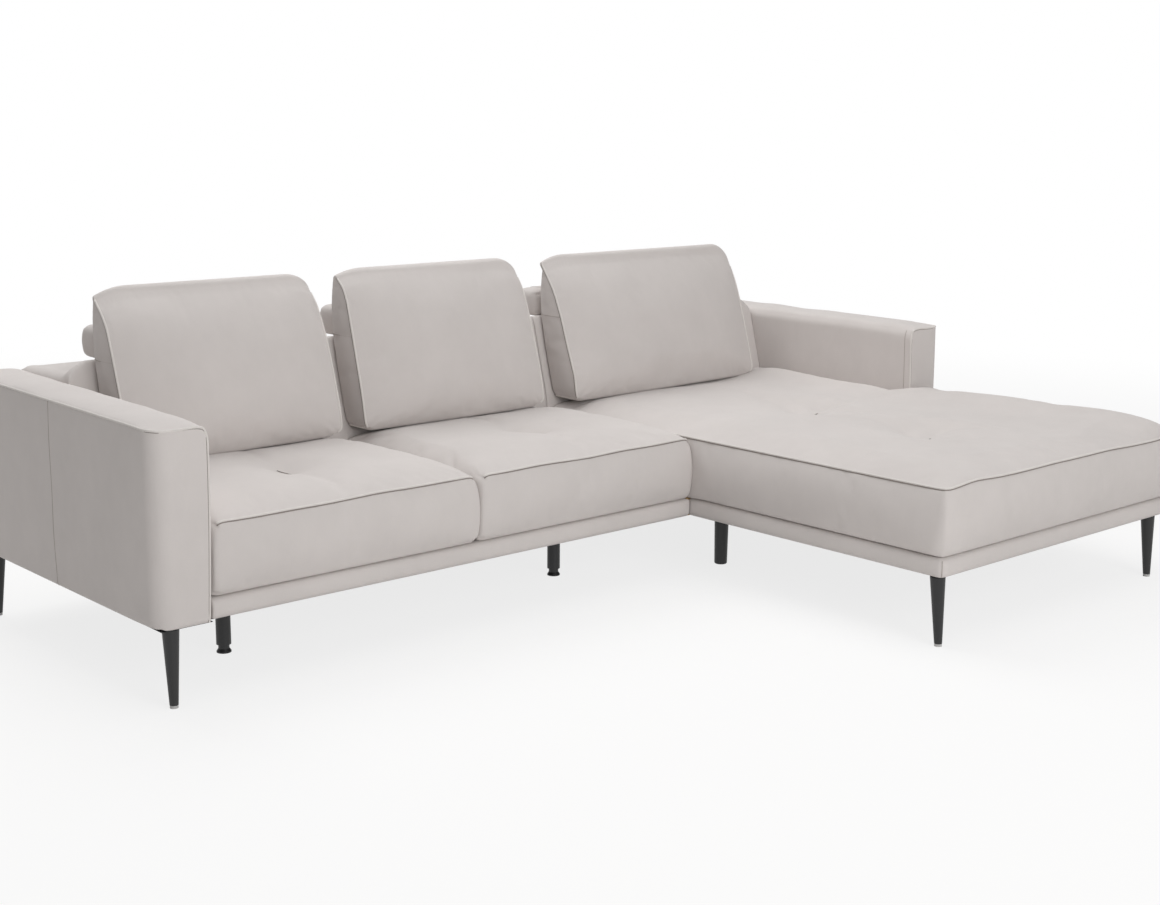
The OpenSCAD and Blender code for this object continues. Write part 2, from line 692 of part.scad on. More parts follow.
// The back's frame: an upright board beside each fitting, rails between them
module back_boards(x0, x1, list) {
  inner = [x0 + pad_t, x1 - pad_t];
  posts = concat([inner[0]], [for (i = list) for (x = fitting_x(i)) x - board_t],
    [inner[1] - board_t]);
  difference() {
    for (p = posts) along_x(p, p + board_t) back_outline(pad_t);
    bolt_places(list) translate([0, 0, -board_t - 1]) cylinder(d = bolt_d, h = board_t + 2, $fn = 48);
  }
  for (i = [0 : len(posts) - 2]) let (x = posts[i] + board_t, w = posts[i + 1] - x) {
    for (z = [rail_top, back_top - pad_t - back_edge_r - slat_w])
      translate([x, y_rear - pad_t - board_t, z]) cube([w, board_t, slat_w]);
    translate([x, y_back + pad_t, rail_top]) cube([w, board_t, slat_w]);
  }
}

module seater_back_upholstery() {
  color(fabric_side) back_shell(x_seat, x_joint - module_gap / 2, [0, 1]);
}
module chaise_back_upholstery() {
  color(fabric_side) back_shell(x_joint + module_gap / 2, x_arm, [2]);
}
module seater_back_frame() {
  color(timber) back_boards(x_seat, x_joint - module_gap / 2, [0, 1]);
}
module chaise_back_frame() {
  color(timber) back_boards(x_joint + module_gap / 2, x_arm, [2]);
}

// Tilt fittings of the headrests

// Places something at each bolt of the fixed plates, with its axis along X
module bolt_places(list) {
  for (i = list) for (x = fitting_x(i)) for (k = [0, 1])
    translate([x, pivot_y, back_top - plate_depth + bolt_inset + k * bolt_pitch]) rotate([0, 90, 0])
      children();
}

// Fixed plate, from inside the back up to the tilt axis
module fixed_plates(i) {
  for (x = fitting_x(i)) difference() {
    union() {
      translate([x, pivot_y - plate_w / 2, back_top - plate_depth])
        cube([plate_t, plate_w, plate_depth + pivot_h - arm_end_r]);
      translate([x, pivot_y - arm_end_r, back_top]) cube([plate_t, 2 * arm_end_r, pivot_h]);
      translate([x, pivot_y, pivot_z]) rotate([0, 90, 0])
        cylinder(r = arm_end_r, h = plate_t, $fn = 64);
    }
    translate([x - 1, pivot_y, pivot_z]) rotate([0, 90, 0])
      cylinder(r = pin_d / 2 + pin_clear, h = plate_t + 2, $fn = 48);
    for (k = [0, 1])
      translate([x - 1, pivot_y, back_top - plate_depth + bolt_inset + k * bolt_pitch]) rotate([0, 90, 0])
        cylinder(r = bolt_d / 2 + pin_clear, h = plate_t + 2, $fn = 48);
  }
}

// Moving plate with the flange that carries the headrest
module moving_plates(i) {
  for (x = fitting_x(i)) let (xm = x + plate_t + plate_gap) {
    difference() {
      union() {
        translate([xm, pivot_y, pivot_z]) rotate([0, 90, 0])
          cylinder(r = arm_end_r, h = plate_t, $fn = 64);
        translate([xm, pivot_y - arm_end_r, pivot_z])
          cube([plate_t, 2 * arm_end_r, headrest_z - flange_t / 2 - pivot_z]);
        translate([xm, pivot_y - flange_w / 2, headrest_z - flange_t])
          cube([flange_w, flange_w, flange_t]);
      }
      translate([xm - 1, pivot_y, pivot_z]) rotate([0, 90, 0])
        cylinder(r = pin_d / 2 + pin_clear, h = plate_t + 2, $fn = 48);
    }
  }
}

// Pivot pins with a head on each side
module headrest_pivot_pins() {
  span = 2 * plate_t + plate_gap + 2 * pin_clear;
  color(steel_bare) for (i = [0 : 2]) for (x = fitting_x(i))
    translate([x - pin_clear, pivot_y, pivot_z]) rotate([0, 90, 0]) {
      cylinder(d = pin_d, h = span, $fn = 48);
      translate([0, 0, -pin_head_h]) cylinder(d = pin_head_d, h = pin_head_h, $fn = 48);
      translate([0, 0, span]) cylinder(d = pin_head_d, h = pin_head_h, $fn = 48);
    }
}

// Bolts through the fixed plates into the uprights
module headrest_bracket_bolts() {
  color(steel_bare) bolt_places([0, 1, 2]) {
    translate([0, 0, -board_t + 2]) cylinder(d = bolt_d, h = board_t - 2 + plate_t, $fn = 48);
    translate([0, 0, plate_t]) cylinder(d = 2 * bolt_d, h = bolt_head_h, $fn = 48);
  }
}

// Board inside a headrest, flush with its flat underside
module headrest_core(i, grow = 0) {
  s = HEADRESTS[i];
  translate([s[0] + core_inset, headrest_y - core_d / 2, headrest_z - grow])
    cube([s[1] - 2 * core_inset, core_d, core_t + grow]);
}
module headrest_pad(i) {
  color(fabric) difference() {
    headrest_form(HEADRESTS[i]);
    headrest_core(i, 1);
  }
}

module left_headrest() { headrest_pad(0); }
module middle_headrest() { headrest_pad(1); }
module chaise_headrest() { headrest_pad(2); }
module left_headrest_board() { color(timber) headrest_core(0); }
module middle_headrest_board() { color(timber) headrest_core(1); }
module chaise_headrest_board() { color(timber) headrest_core(2); }
module left_headrest_arms() { color(steel_black) moving_plates(0); }
module middle_headrest_arms() { color(steel_black) moving_plates(1); }
module chaise_headrest_arms() { color(steel_black) moving_plates(2); }
module left_headrest_brackets() { color(steel_black) fixed_plates(0); }
module middle_headrest_brackets() { color(steel_black) fixed_plates(1); }
module chaise_headrest_brackets() { color(steel_black) fixed_plates(2); }

// Base: padded rails outside, timber frame inside, springs and cloth

// Section of a padded rail, drawn as [depth, height], with its rounded face at depth 0
module rail_section() {
  r = rail_r;
  translate([r, r]) circle(r);
  translate([r, rail_h - r]) circle(r);
  translate([0, r]) square([r, rail_h - 2 * r]);
  translate([r, 0]) square([rail_d - r, rail_h]);
}
// Rail along X with its face to the front
module rail_x(x0, x1, y) {
  translate([x0, y, leg_h]) rotate([90, 0, 90]) linear_extrude(x1 - x0) rail_section();
}
// Rail along Y with its face to the left
module rail_left(y0, y1, x) {
  translate([x, y1, leg_h]) rotate([90, 0, 0]) linear_extrude(y1 - y0) rail_section();
}

// The chaise's left rail runs a little way into the joint, beside the seats' rail
y_joint_rail = y_seat + rail_r;
module seater_base_rail() { color(fabric_side) rail_x(x_seat, x_joint - module_gap / 2, y_seat); }
module chaise_front_base_rail() {
  color(fabric_side) difference() {
    rail_x(x_joint + module_gap, x_right - seat_bulge, y_chaise);
    leg_screw_shanks();
  }
}
module chaise_left_base_rail() {
  color(fabric_side) difference() {
    rail_left(y_chaise + rail_d, y_joint_rail, x_joint + module_gap);
    leg_screw_shanks();
  }
}
module chaise_right_base_rail() {
  color(fabric_side) translate([x_right - seat_bulge, 0, 0]) mirror([1, 0, 0])
    rail_left(y_chaise + rail_d, y_seat - arm_front, 0);
}

frame_h = rail_top - board_z;
// A board of the base frame, standing on edge
module base_board(x0, x1, y0, y1, h = frame_h) {
  translate([x0, y0, board_z]) cube([x1 - x0, y1 - y0, h]);
}

// Places in the base frames
y_frame = y_seat + rail_d;
y_frame_rear = y_rear - skirt_t;
y_chaise_frame = y_chaise + rail_d;
seater_end = x_joint - module_gap / 2;
chaise_start = x_joint + module_gap + rail_d;
chaise_end = x_right - seat_bulge - rail_d;
chaise_arm_y = y_seat - arm_front;
seater_cross = [x_seat, x_middle - board_t / 2, seater_end - board_t];
chaise_cross = [chaise_start, x_arm - board_t];

// A long board under the fixed back's front, and flat beams over the support legs,
// in the bay between two cross boards
module bay(x0, x1, beams) {
  base_board(x0, x1, y_back, y_back + board_t);
  for (y = beams) base_board(x0, x1, y - slat_w / 2, y + slat_w / 2, board_t);
}

module seater_base_frame() {
  color(timber) difference() {
    union() {
      base_board(x_seat, seater_end, y_frame, y_frame + board_t);
      base_board(x_seat, seater_end, y_frame_rear - board_t, y_frame_rear);
      for (x = seater_cross) base_board(x, x + board_t, y_frame + board_t, y_frame_rear - board_t);
      for (i = [0, 1]) bay(seater_cross[i] + board_t, seater_cross[i + 1],
        [SUPPORTS[0].y, SUPPORTS[2].y]);
    }
    leg_screw_shanks();
  }
}
module chaise_base_frame() {
  color(timber) difference() {
    union() {
      base_board(chaise_start, chaise_end, y_chaise_frame, y_chaise_frame + board_t);
      base_board(x_joint + module_gap / 2, x_arm, y_frame_rear - board_t, y_frame_rear);
      for (x = chaise_cross)
        base_board(x, x + board_t, y_chaise_frame + board_t, y_frame_rear - board_t);
      base_board(x_joint + module_gap / 2, chaise_start, y_joint_rail, y_frame_rear - board_t);
      base_board(chaise_end - board_t, chaise_end, y_chaise_frame + board_t, chaise_arm_y);
      base_board(x_arm, chaise_end - board_t, chaise_arm_y - board_t, chaise_arm_y);
      base_board(x_arm, chaise_end - board_t, y_chaise_frame + board_t,
        y_chaise_frame + board_t + slat_w, board_t);
      bay(chaise_cross[0] + board_t, chaise_cross[1], [MIDDLES[0].y, MIDDLES[1].y]);
    }
    leg_screw_shanks();
  }
}

// A zigzag spring along Y from the origin, lying flat: half rings joined by straight stretches
module zigzag_spring(length) {
  bends = floor(length / (2 * bend_r));
  pitch = length / bends;
  r = wire_d / 2;
  last = last_side(length);
  translate([0, 0, -r]) linear_extrude(wire_d) {
    for (i = [0 : bends - 1]) let (s = i % 2 == 0 ? 1 : -1, y = (i + 0.5) * pitch)
      translate([s * spring_half, y]) intersection() {
        difference() {
          circle(pitch / 2 + r, $fn = 48);
          circle(pitch / 2 - r, $fn = 48);
        }
        translate([s > 0 ? 0 : -pitch, -pitch]) square([pitch, 2 * pitch]);
      }
    for (i = [1 : bends - 1]) translate([-spring_half, i * pitch - r])
      square([2 * spring_half, wire_d]);
    translate([0, -r]) square([spring_half, wire_d]);
    translate([last > 0 ? 0 : -spring_half, length - r]) square([spring_half, wire_d]);
  }
}
// The side on which a spring's last bend ends: 1 or -1
function last_side(length) = floor(length / (2 * bend_r)) % 2 == 0 ? -1 : 1;

// Clips that hold both ends of a spring on the boards behind them
module spring_clip_pair(length) {
  r = wire_d / 2 + clip_wall;
  slot = wire_d + 2 * clip_clear;
  for (end = [0, 1]) let (side = end == 0 ? 1 : last_side(length))
    translate([side * spring_half / 2, end * length, 0]) difference() {
      translate([-clip_l / 2, end == 0 ? -spring_edge : -r, -r]) cube([clip_l, spring_edge + r, 2 * r]);
      cube([clip_l + 2, slot, slot], center = true);
    }
}

// Where the springs lie
function spread(x0, x1, n) = [for (i = [0 : n - 1]) x0 + (i + 0.5) * (x1 - x0) / n];
per_seat = round(seat_springs / 2);
SEAT_SPRING_X = concat(spread(seater_cross[0] + board_t, seater_cross[1], per_seat),
  spread(seater_cross[1] + board_t, seater_cross[2], per_seat));
CHAISE_SPRING_Y = spread(y_chaise_frame + board_t, y_back, chaise_springs);
spring_z = rail_top - spring_drop;
seat_spring_y = y_frame + board_t + spring_edge;
seat_spring_l = y_back - spring_edge - seat_spring_y;
chaise_spring_x = chaise_cross[0] + board_t + spring_edge;
chaise_spring_l = chaise_cross[1] - spring_edge - chaise_spring_x;
module at_seat_springs() {
  for (x = SEAT_SPRING_X) translate([x, seat_spring_y, spring_z]) children();
}
module at_chaise_springs() {
  for (y = CHAISE_SPRING_Y) translate([chaise_spring_x, y, spring_z]) rotate([0, 0, -90])
    children();
}

module seat_springs_wire() { color(steel_bare) at_seat_springs() zigzag_spring(seat_spring_l); }
module chaise_springs_wire() {
  color(steel_bare) at_chaise_springs() zigzag_spring(chaise_spring_l);
}
module spring_clips() {
  color(plastic_grey) {
    at_seat_springs() spring_clip_pair(seat_spring_l);
    at_chaise_springs() spring_clip_pair(chaise_spring_l);
  }
}

// Cloth stapled under the body: it ends further in behind the rounded base rails
module cloth_area(x0, x1, y0, y1 = y_rear - cloth_inset) {
  translate([x0, y0]) square([x1 - x0, y1 - y0]);
}
module underside_cloth() {
  color(cloth_black) difference() {
    translate([0, 0, cloth_z]) linear_extrude(cloth_t) children();
    leg_screw_shanks();
  }
}
y_cloth_seats = y_seat + cloth_rail_inset;
y_cloth_arm = y_seat - arm_front + cloth_inset;
module seater_underside_cloth() {
  underside_cloth() {
    cloth_area(x_left + cloth_inset, x_seat, y_cloth_arm);
    cloth_area(x_seat - 1, seater_end, y_cloth_seats);
  }
}
module chaise_underside_cloth() {
  underside_cloth() {
    cloth_area(x_joint + module_gap + cloth_rail_inset, x_right - seat_bulge - cloth_rail_inset,
      y_chaise + cloth_rail_inset, y_cloth_seats + 1);
    cloth_area(x_joint + module_gap, x_arm, y_cloth_seats);
    cloth_area(x_arm - 1, x_right - cloth_inset, y_cloth_arm);
  }
}

// Legs

// Every leg's middle on the underside of the body, with the leg's diameter there
// and the direction of its mounting plate
LEG_SPOTS = concat([for (t = TAPERED) [t[0], t[1], taper_top_d, t[3]]],
  [for (t = SUPPORTS) [t[0], t[1], support_d, 0]],
  [for (t = MIDDLES) [t[0], t[1], middle_leg_top_d, 0]]);
// Two screws stand beside a leg, on its inner side, and a third one further in
function screw_row(spot) = (spot[2] + screw_head_d) / 2 + screw_clear;
function last_screw(spot) = screw_row(spot) + screw_pitch;
module at_leg(spot) {
  translate([spot.x, spot.y, leg_top_z]) rotate([0, 0, spot[3]]) children();
}
module leg_screw_places() {
  for (spot = LEG_SPOTS) at_leg(spot) {
    for (side = [-1, 1]) translate([screw_row(spot), side * screw_spread / 2, 0]) children();
    translate([last_screw(spot), 0, 0]) children();
  }
}
module leg_screw_shanks() {
  leg_screw_places() cylinder(d = screw_d, h = screw_l + mount_t + cloth_t, $fn = 24);
}
module leg_screws() {
  color(steel_bare) {
    leg_screw_shanks();
    leg_screw_places() translate([0, 0, -screw_head_h])
      cylinder(d = screw_head_d, h = screw_head_h, $fn = 24);
  }
}
// A mounting plate is as wide as its leg and reaches inward, out of sight
module leg_mounting_plates() {
  w = screw_spread + screw_head_d + 2 * screw_inset;
  color(steel_black) difference() {
    for (spot = LEG_SPOTS) at_leg(spot) linear_extrude(mount_t) {
      circle(d = spot[2], $fn = 64);
      translate([0, -w / 2]) square([last_screw(spot), w]);
      translate([last_screw(spot), 0]) circle(d = w, $fn = 48);
    }
    leg_screw_shanks();
  }
}

// A tapered leg: a cone leaned so that one side is upright, with a bore for its glide
module tapered_leg(i) {
  t = TAPERED[i];
  h = leg_top_z - glide_h;
  slope = taper_shift / h;
  lean = atan(slope);
  extra = 10;
  color(steel_black) difference() {
    intersection() {
      translate([t[0], t[1], leg_top_z]) rotate([0, 0, t[2]]) rotate([0, -lean, 0])
        translate([0, 0, -h - extra]) cylinder(r1 = taper_bottom_d / 2 - slope * extra,
          r2 = taper_top_d / 2 + slope * extra, h = h + 2 * extra, $fn = 64);
      translate([t[0] - taper_top_d, t[1] - taper_top_d, glide_h])
        cube([2 * taper_top_d, 2 * taper_top_d, h]);
    }
    glide_stem(i, stem_clear, 1);
  }
}
// Middle of a tapered leg's lower end
function leg_end(i) = [TAPERED[i][0] + taper_shift * cos(TAPERED[i][2]),
  TAPERED[i][1] + taper_shift * sin(TAPERED[i][2])];
module glide_stem(i, clear, below) {
  translate([leg_end(i).x, leg_end(i).y, glide_h - below])
    cylinder(d = stem_d + 2 * clear, h = stem_l + below + clear, $fn = 32);
}
module leg_glides() {
  color(plastic_grey) for (i = [0 : len(TAPERED) - 1]) {
    translate([leg_end(i).x, leg_end(i).y, 0])
      cylinder(d = taper_bottom_d - glide_step, h = glide_h, $fn = 48);
    glide_stem(i, 0, 1);
  }
}

module front_left_leg() { tapered_leg(0); }
module rear_left_leg() { tapered_leg(1); }
module rear_right_leg() { tapered_leg(2); }
module chaise_front_left_leg() { tapered_leg(3); }
module chaise_front_right_leg() { tapered_leg(4); }

// Straight support legs with a levelling foot on a spindle
spindle_l = foot_travel + spindle_grip;
module support_leg(i) {
  spot = SUPPORTS[i];
  color(steel_black) translate([spot.x, spot.y, 0]) difference() {
    translate([0, 0, foot_h + foot_clear])
      cylinder(d = support_d, h = leg_top_z - foot_h - foot_clear, $fn = 64);
    cylinder(d = spindle_d + 2 * foot_clear, h = foot_h + spindle_l + foot_clear, $fn = 48);
  }
}
module levelling_foot(i) {
  spot = SUPPORTS[i];
  color(steel_black) translate([spot.x, spot.y, 0]) {
    cylinder(d = foot_d, h = 0.3 * foot_base_h, $fn = 64);
    translate([0, 0, 0.3 * foot_base_h])
      cylinder(d1 = foot_d, d2 = neck_d, h = 0.7 * foot_base_h, $fn = 64);
    cylinder(d = neck_d, h = foot_h, $fn = 64);
    cylinder(d = spindle_d, h = foot_h + spindle_l, $fn = 48);
  }
}
module left_support_leg() { support_leg(0); }
module right_support_leg() { support_leg(1); }
module rear_support_leg() { support_leg(2); }
module left_levelling_foot() { levelling_foot(0); }
module right_levelling_foot() { levelling_foot(1); }
module rear_levelling_foot() { levelling_foot(2); }

// Plain legs under the chaise's left side, slightly tapered, with a rounded lower edge
module middle_leg(i) {
  r0 = middle_leg_d / 2;
  r = middle_leg_r;
  color(steel_black) translate([MIDDLES[i].x, MIDDLES[i].y, 0]) rotate_extrude($fn = 64) {
    polygon([[0, 0], [r0 - r, 0], [r0 - r, r], [r0, r], [middle_leg_top_d / 2, leg_top_z],
      [0, leg_top_z]]);
    intersection() {
      translate([r0 - r, r]) circle(r);
      translate([r0 - r, 0]) square([r, r]);
    }
  }
}
module chaise_middle_leg() { middle_leg(0); }
module chaise_rear_middle_leg() { middle_leg(1); }

// Connectors under the joint of the two halves
CONNECTOR_Y = [y_seat + hook_front, y_rear - hook_rear];
module connector_stud_plates() {
  color(steel_bare) for (y = CONNECTOR_Y) {
    translate([seater_end - hook_w - hook_extra, y - hook_l / 2, cloth_z - hook_t])
      cube([hook_w + hook_extra, hook_l, hook_t]);
    translate([seater_end - stud_inset, y, cloth_z - hook_t - stud_l])
      cylinder(d = stud_d, h = stud_l + eps, $fn = 48);
  }
}
// Each hook plate has a raised part on the chaise and a tongue round the stud
module connector_hook_plates() {
  x0 = x_joint + module_gap;
  tongue_z = cloth_z - hook_t - hook_clear - hook_t;
  color(steel_bare) for (y = CONNECTOR_Y) difference() {
    union() {
      translate([x0, y - hook_l / 2, cloth_z - hook_t]) cube([hook_w + hook_extra, hook_l, hook_t]);
      translate([x0, y - hook_w / 2, tongue_z]) cube([hook_t, hook_w, cloth_z - tongue_z]);
      translate([seater_end - stud_inset - hook_w / 2, y - hook_w / 2, tongue_z])
        cube([x0 + hook_t - seater_end + stud_inset + hook_w / 2, hook_w, hook_t]);
    }
    translate([seater_end - stud_inset, y, tongue_z - 1])
      cylinder(d = stud_d + 2 * hook_clear, h = hook_t + 2, $fn = 48);
  }
}

module left_seat_cushion() { color(fabric) seat_form(x_seat, seat_w); }
module middle_seat_cushion() { color(fabric) seat_form(x_middle, seat_w); }
module chaise_cushion() { color(fabric) chaise_form(); }
module left_back_cushion() { color(fabric) back_cushion_form(CUSHIONS[0]); }
module middle_back_cushion() { color(fabric) back_cushion_form(CUSHIONS[1]); }
module chaise_back_cushion() { color(fabric) back_cushion_form(CUSHIONS[2]); }

left_arm_frame();
right_arm_frame();
seater_base_frame();
chaise_base_frame();
seater_back_frame();
chaise_back_frame();
seat_springs_wire();
chaise_springs_wire();
spring_clips();
seater_underside_cloth();
chaise_underside_cloth();
left_arm_upholstery();
right_arm_upholstery();
seater_back_upholstery();
chaise_back_upholstery();
seater_base_rail();
chaise_left_base_rail();
chaise_front_base_rail();
chaise_right_base_rail();
left_seat_cushion();
middle_seat_cushion();
chaise_cushion();
left_back_cushion();
middle_back_cushion();
chaise_back_cushion();
left_headrest();
middle_headrest();
chaise_headrest();
left_headrest_board();
middle_headrest_board();
chaise_headrest_board();
left_headrest_arms();
middle_headrest_arms();
chaise_headrest_arms();
left_headrest_brackets();
middle_headrest_brackets();
chaise_headrest_brackets();
headrest_pivot_pins();
headrest_bracket_bolts();
front_left_leg();
rear_left_leg();
rear_right_leg();
chaise_front_left_leg();
chaise_front_right_leg();
leg_glides();
leg_mounting_plates();
leg_screws();
left_support_leg();
right_support_leg();
rear_support_leg();
left_levelling_foot();
right_levelling_foot();
rear_levelling_foot();
chaise_middle_leg();
chaise_rear_middle_leg();
connector_stud_plates();
connector_hook_plates();
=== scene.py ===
"""Corner sofa with a chaise on the right: padded covers, seams, piping and finishes."""

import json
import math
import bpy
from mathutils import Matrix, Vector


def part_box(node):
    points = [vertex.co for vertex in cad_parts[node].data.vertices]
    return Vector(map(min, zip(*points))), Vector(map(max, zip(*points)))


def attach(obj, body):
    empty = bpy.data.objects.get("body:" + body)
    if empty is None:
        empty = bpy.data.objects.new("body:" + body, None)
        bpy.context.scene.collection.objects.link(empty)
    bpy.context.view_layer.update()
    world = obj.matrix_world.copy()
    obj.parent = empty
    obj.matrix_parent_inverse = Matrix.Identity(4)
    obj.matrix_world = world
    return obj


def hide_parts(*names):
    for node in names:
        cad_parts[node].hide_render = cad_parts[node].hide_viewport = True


bl_info = {
    "name": "Corner sofa with chaise",
    "version": (1, 0, 0),
    "blender": (4, 5, 0),
    "location": "View3D > Sidebar > Sofa",
    "description": "Builds the covers, seams, piping and finishes of a corner sofa",
    "category": "Object",
}

from functools import partial

import bmesh
import bpy
from bpy.props import FloatProperty, PointerProperty, StringProperty
from mathutils import Matrix, Vector, noise
from mathutils.bvhtree import BVHTree

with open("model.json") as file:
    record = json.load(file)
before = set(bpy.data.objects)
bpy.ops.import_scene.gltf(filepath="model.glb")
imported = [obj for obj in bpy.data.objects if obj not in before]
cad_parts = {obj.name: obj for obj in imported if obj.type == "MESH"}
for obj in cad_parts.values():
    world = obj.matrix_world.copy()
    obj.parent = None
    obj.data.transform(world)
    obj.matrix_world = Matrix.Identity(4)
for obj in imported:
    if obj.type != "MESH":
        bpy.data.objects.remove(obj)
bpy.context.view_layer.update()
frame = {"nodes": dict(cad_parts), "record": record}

# Places that the covers share with the frame, in metres
ARM_LOW, ARM_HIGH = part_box("left_arm_upholstery")
RAIL_LOW, RAIL_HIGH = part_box("seater_base_rail")
FRONT_RAIL_LOW, FRONT_RAIL_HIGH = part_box("chaise_front_base_rail")
BACK_LOW, BACK_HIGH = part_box("seater_back_upholstery")
CHAISE_BACK_LOW, CHAISE_BACK_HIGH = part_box("chaise_back_upholstery")
X_SEAT = ARM_HIGH.x
X_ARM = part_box("right_arm_upholstery")[0].x
X_JOINT = (BACK_HIGH.x + CHAISE_BACK_LOW.x) / 2
X_MIDDLE = (X_SEAT + X_JOINT) / 2
X_CHAISE_RIGHT = FRONT_RAIL_HIGH.x
Y_SEAT = RAIL_LOW.y
Y_CHAISE = FRONT_RAIL_LOW.y
Y_ARM = ARM_LOW.y
Y_BACK = BACK_LOW.y
BODY_Z = RAIL_LOW.z
RAIL_TOP = RAIL_HIGH.z
PIPING_Z = RAIL_TOP + 0.175
SEAT_TOP = PIPING_Z + 0.025
BACK_LEAN = 0.27
# How far covers stay apart beside each other, and where one rests against another
CLEAR = 0.001
REST_GAP = 0.0005
CUSHION_GAP = 0.0004
# Height of a seat's crown over its piping, and how far the back cushions press it down
SEAT_CROWN = 0.021
PRESSED = 0.008
# Size of the cells that each kind of padded piece is cut into
CELL = {"seat": 0.0095, "chaise": 0.0145, "back_cushion": 0.0095, "headrest": 0.009,
        "arm": 0.0115, "fixed_back": 0.016, "base_rail": 0.008}
# How near 1 a grid coordinate is on a face of its box
ON_FACE = 0.999
ALONG = {"x": 0, "y": 1, "z": 2}
SIGN = {"-": -1, "+": 1}


class SofaSizes(bpy.types.PropertyGroup):
    """Sizes of the covers that can be changed without touching the frame."""

    welt: FloatProperty(name="Welt", description="Diameter of the piping cord with its cover",
                        default=0.0058, min=0.002, max=0.012, unit="LENGTH")
    # Width of the thin dark cord that paints the shade in the fold beside the piping
    fold: FloatProperty(name="Fold", description="Width of the shaded fold beside the piping",
                        default=0.0034, min=0.001, max=0.006, unit="LENGTH")
    # Width of a drawn seam: a thin line that paints the shade in the seam's groove
    seam_shade: FloatProperty(name="Thread", description="Width of a drawn seam",
                          default=0.0016, min=0.0005, max=0.004, unit="LENGTH")
    seat_front_swell: FloatProperty(name="Seat front swell",
                                    description="How far the seat fronts swell forward",
                                    default=0.012, min=0, max=0.03, unit="LENGTH")
    tuft_depth: FloatProperty(name="Tuft depth", description="Depth of the sewn tufts",
                              default=0.009, min=0, max=0.02, unit="LENGTH")
    pressure: FloatProperty(name="Pressure", description="Air pressure that swells the covers",
                            default=4.0, min=0, max=10)
    swell_limit: FloatProperty(name="Swell limit", description="How far a cover may swell",
                               default=0.012, min=0, max=0.03, unit="LENGTH")


class SofaColours(bpy.types.PropertyGroup):
    """Colours of the sofa's finishes, as sRGB hex values."""

    fabric: StringProperty(name="Velour", description="Colour of the cover", default="#D2CCC9")
    # The piping is coloured lighter than the cover: a painted highlight along its round top
    welt: StringProperty(name="Welt", description="Colour of the piping", default="#DDD8D4")
    # Painted shade: the colour of the thin dark cord in the fold beside the piping
    fold: StringProperty(name="Fold", description="Cover in the fold beside the piping",
                         default="#8F8782")
    # Painted shade: the colour of a drawn seam's line, darker than the cover as the shade in its
    # groove
    seam_shade: StringProperty(name="Seam", description="Colour of a drawn seam",
                           default="#A9A09A")
    black: StringProperty(name="Black", description="Powder coat of the legs",
                          default="#1B1B1C")
    glide: StringProperty(name="Glide", description="Plastic of the glides",
                          default="#C2C1C0")
    zinc: StringProperty(name="Zinc", description="Plated steel of the fittings",
                         default="#B4B6B6")
    timber: StringProperty(name="Timber", description="Softwood of the frame",
                           default="#C9A877")
    cloth: StringProperty(name="Bottom cloth", description="Cloth under the sofa",
                          default="#2C2C2E")
    floor: StringProperty(name="Floor", description="Studio floor", default="#F2F1F0")


# Materials


def linear(colour):
    """An sRGB hex colour as linear red, green, blue and alpha."""
    parts = [int(colour[i:i + 2], 16) / 255 for i in (1, 3, 5)]
    return [c / 12.92 if c <= 0.04045 else ((c + 0.055) / 1.055) ** 2.4
            for c in parts] + [1.0]


def shaded(colour, factor):
    """A colour made lighter or darker."""
    return [c * factor for c in linear(colour)[:3]] + [1.0]


def add_node(tree, kind, sockets=None, **settings):
    """Adds a node with its settings. Each socket named gets its value, or a link from
    the socket or from the first output of the node given for it."""
    node = tree.nodes.new("ShaderNode" + kind)
    for key, value in settings.items():
        setattr(node, key, value)
    for key, value in (sockets or {}).items():
        if isinstance(value, bpy.types.Node):
            value = value.outputs[0]
        if isinstance(value, bpy.types.NodeSocket):
            tree.links.new(value, node.inputs[key])
        else:
            node.inputs[key].default_value = value
    return node


def new_material(name):
    """An empty node material, what adds a node to it, and the place on the object."""
    material = bpy.data.materials.new(name)
    material.use_nodes = True
    material.node_tree.nodes.clear()
    add = partial(add_node, material.node_tree)
    return material, add, add("TexCoord").outputs["Object"]


def velour(name, colour):
    """Woven velour, brushed: the short pile lies in soft patches that catch the light
    differently, glows a little at grazing angles and has a fine grain."""
    material, add, place = new_material(name)
    patches = add("TexNoise", {"Vector": place, "Scale": 1 / 0.16, "Detail": 3,
                               "Roughness": 0.55})
    lying = add("Mapping", {"Vector": place, "Scale": (1, 1, 0.6)})
    strokes = add("TexNoise", {"Vector": lying, "Scale": 1 / 0.035, "Detail": 4,
                               "Roughness": 0.6})
    # The pile is 0.4 mm fine; it is drawn at 1.6 mm so that it shows
    grain = add("TexNoise", {"Vector": place, "Scale": 1 / 0.0016, "Detail": 2,
                             "Roughness": 0.6})
    mix = add("Math", {0: strokes.outputs["Fac"], 1: 0.45, 2: patches.outputs["Fac"]},
              operation="MULTIPLY_ADD")
    spread = add("MapRange", {"Value": mix, "From Min": 0.5, "From Max": 0.95})
    tone = add("Mix", {0: spread, 6: shaded(colour, 0.97), 7: shaded(colour, 1.02)},
               data_type="RGBA")
    fine = add("MapRange", {"Value": grain.outputs["Fac"], "To Min": 0.97, "To Max": 1.03})
    nap = add("Mix", {0: 1.0, 6: tone.outputs[2], 7: fine}, data_type="RGBA",
              blend_type="MULTIPLY")
    soft = add("Bump", {"Height": strokes.outputs["Fac"], "Strength": 0.25,
                        "Distance": 0.002})
    bump = add("Bump", {"Height": grain.outputs["Fac"], "Strength": 0.35,
                        "Distance": 0.0006, "Normal": soft})
    shader = add("BsdfPrincipled", {"Base Color": nap.outputs[2], "Normal": bump,
                                    "Roughness": 0.92, "Specular IOR Level": 0.15,
                                    "Sheen Weight": 0.22, "Sheen Roughness": 0.45})
    add("OutputMaterial", {"Surface": shader})
    return material


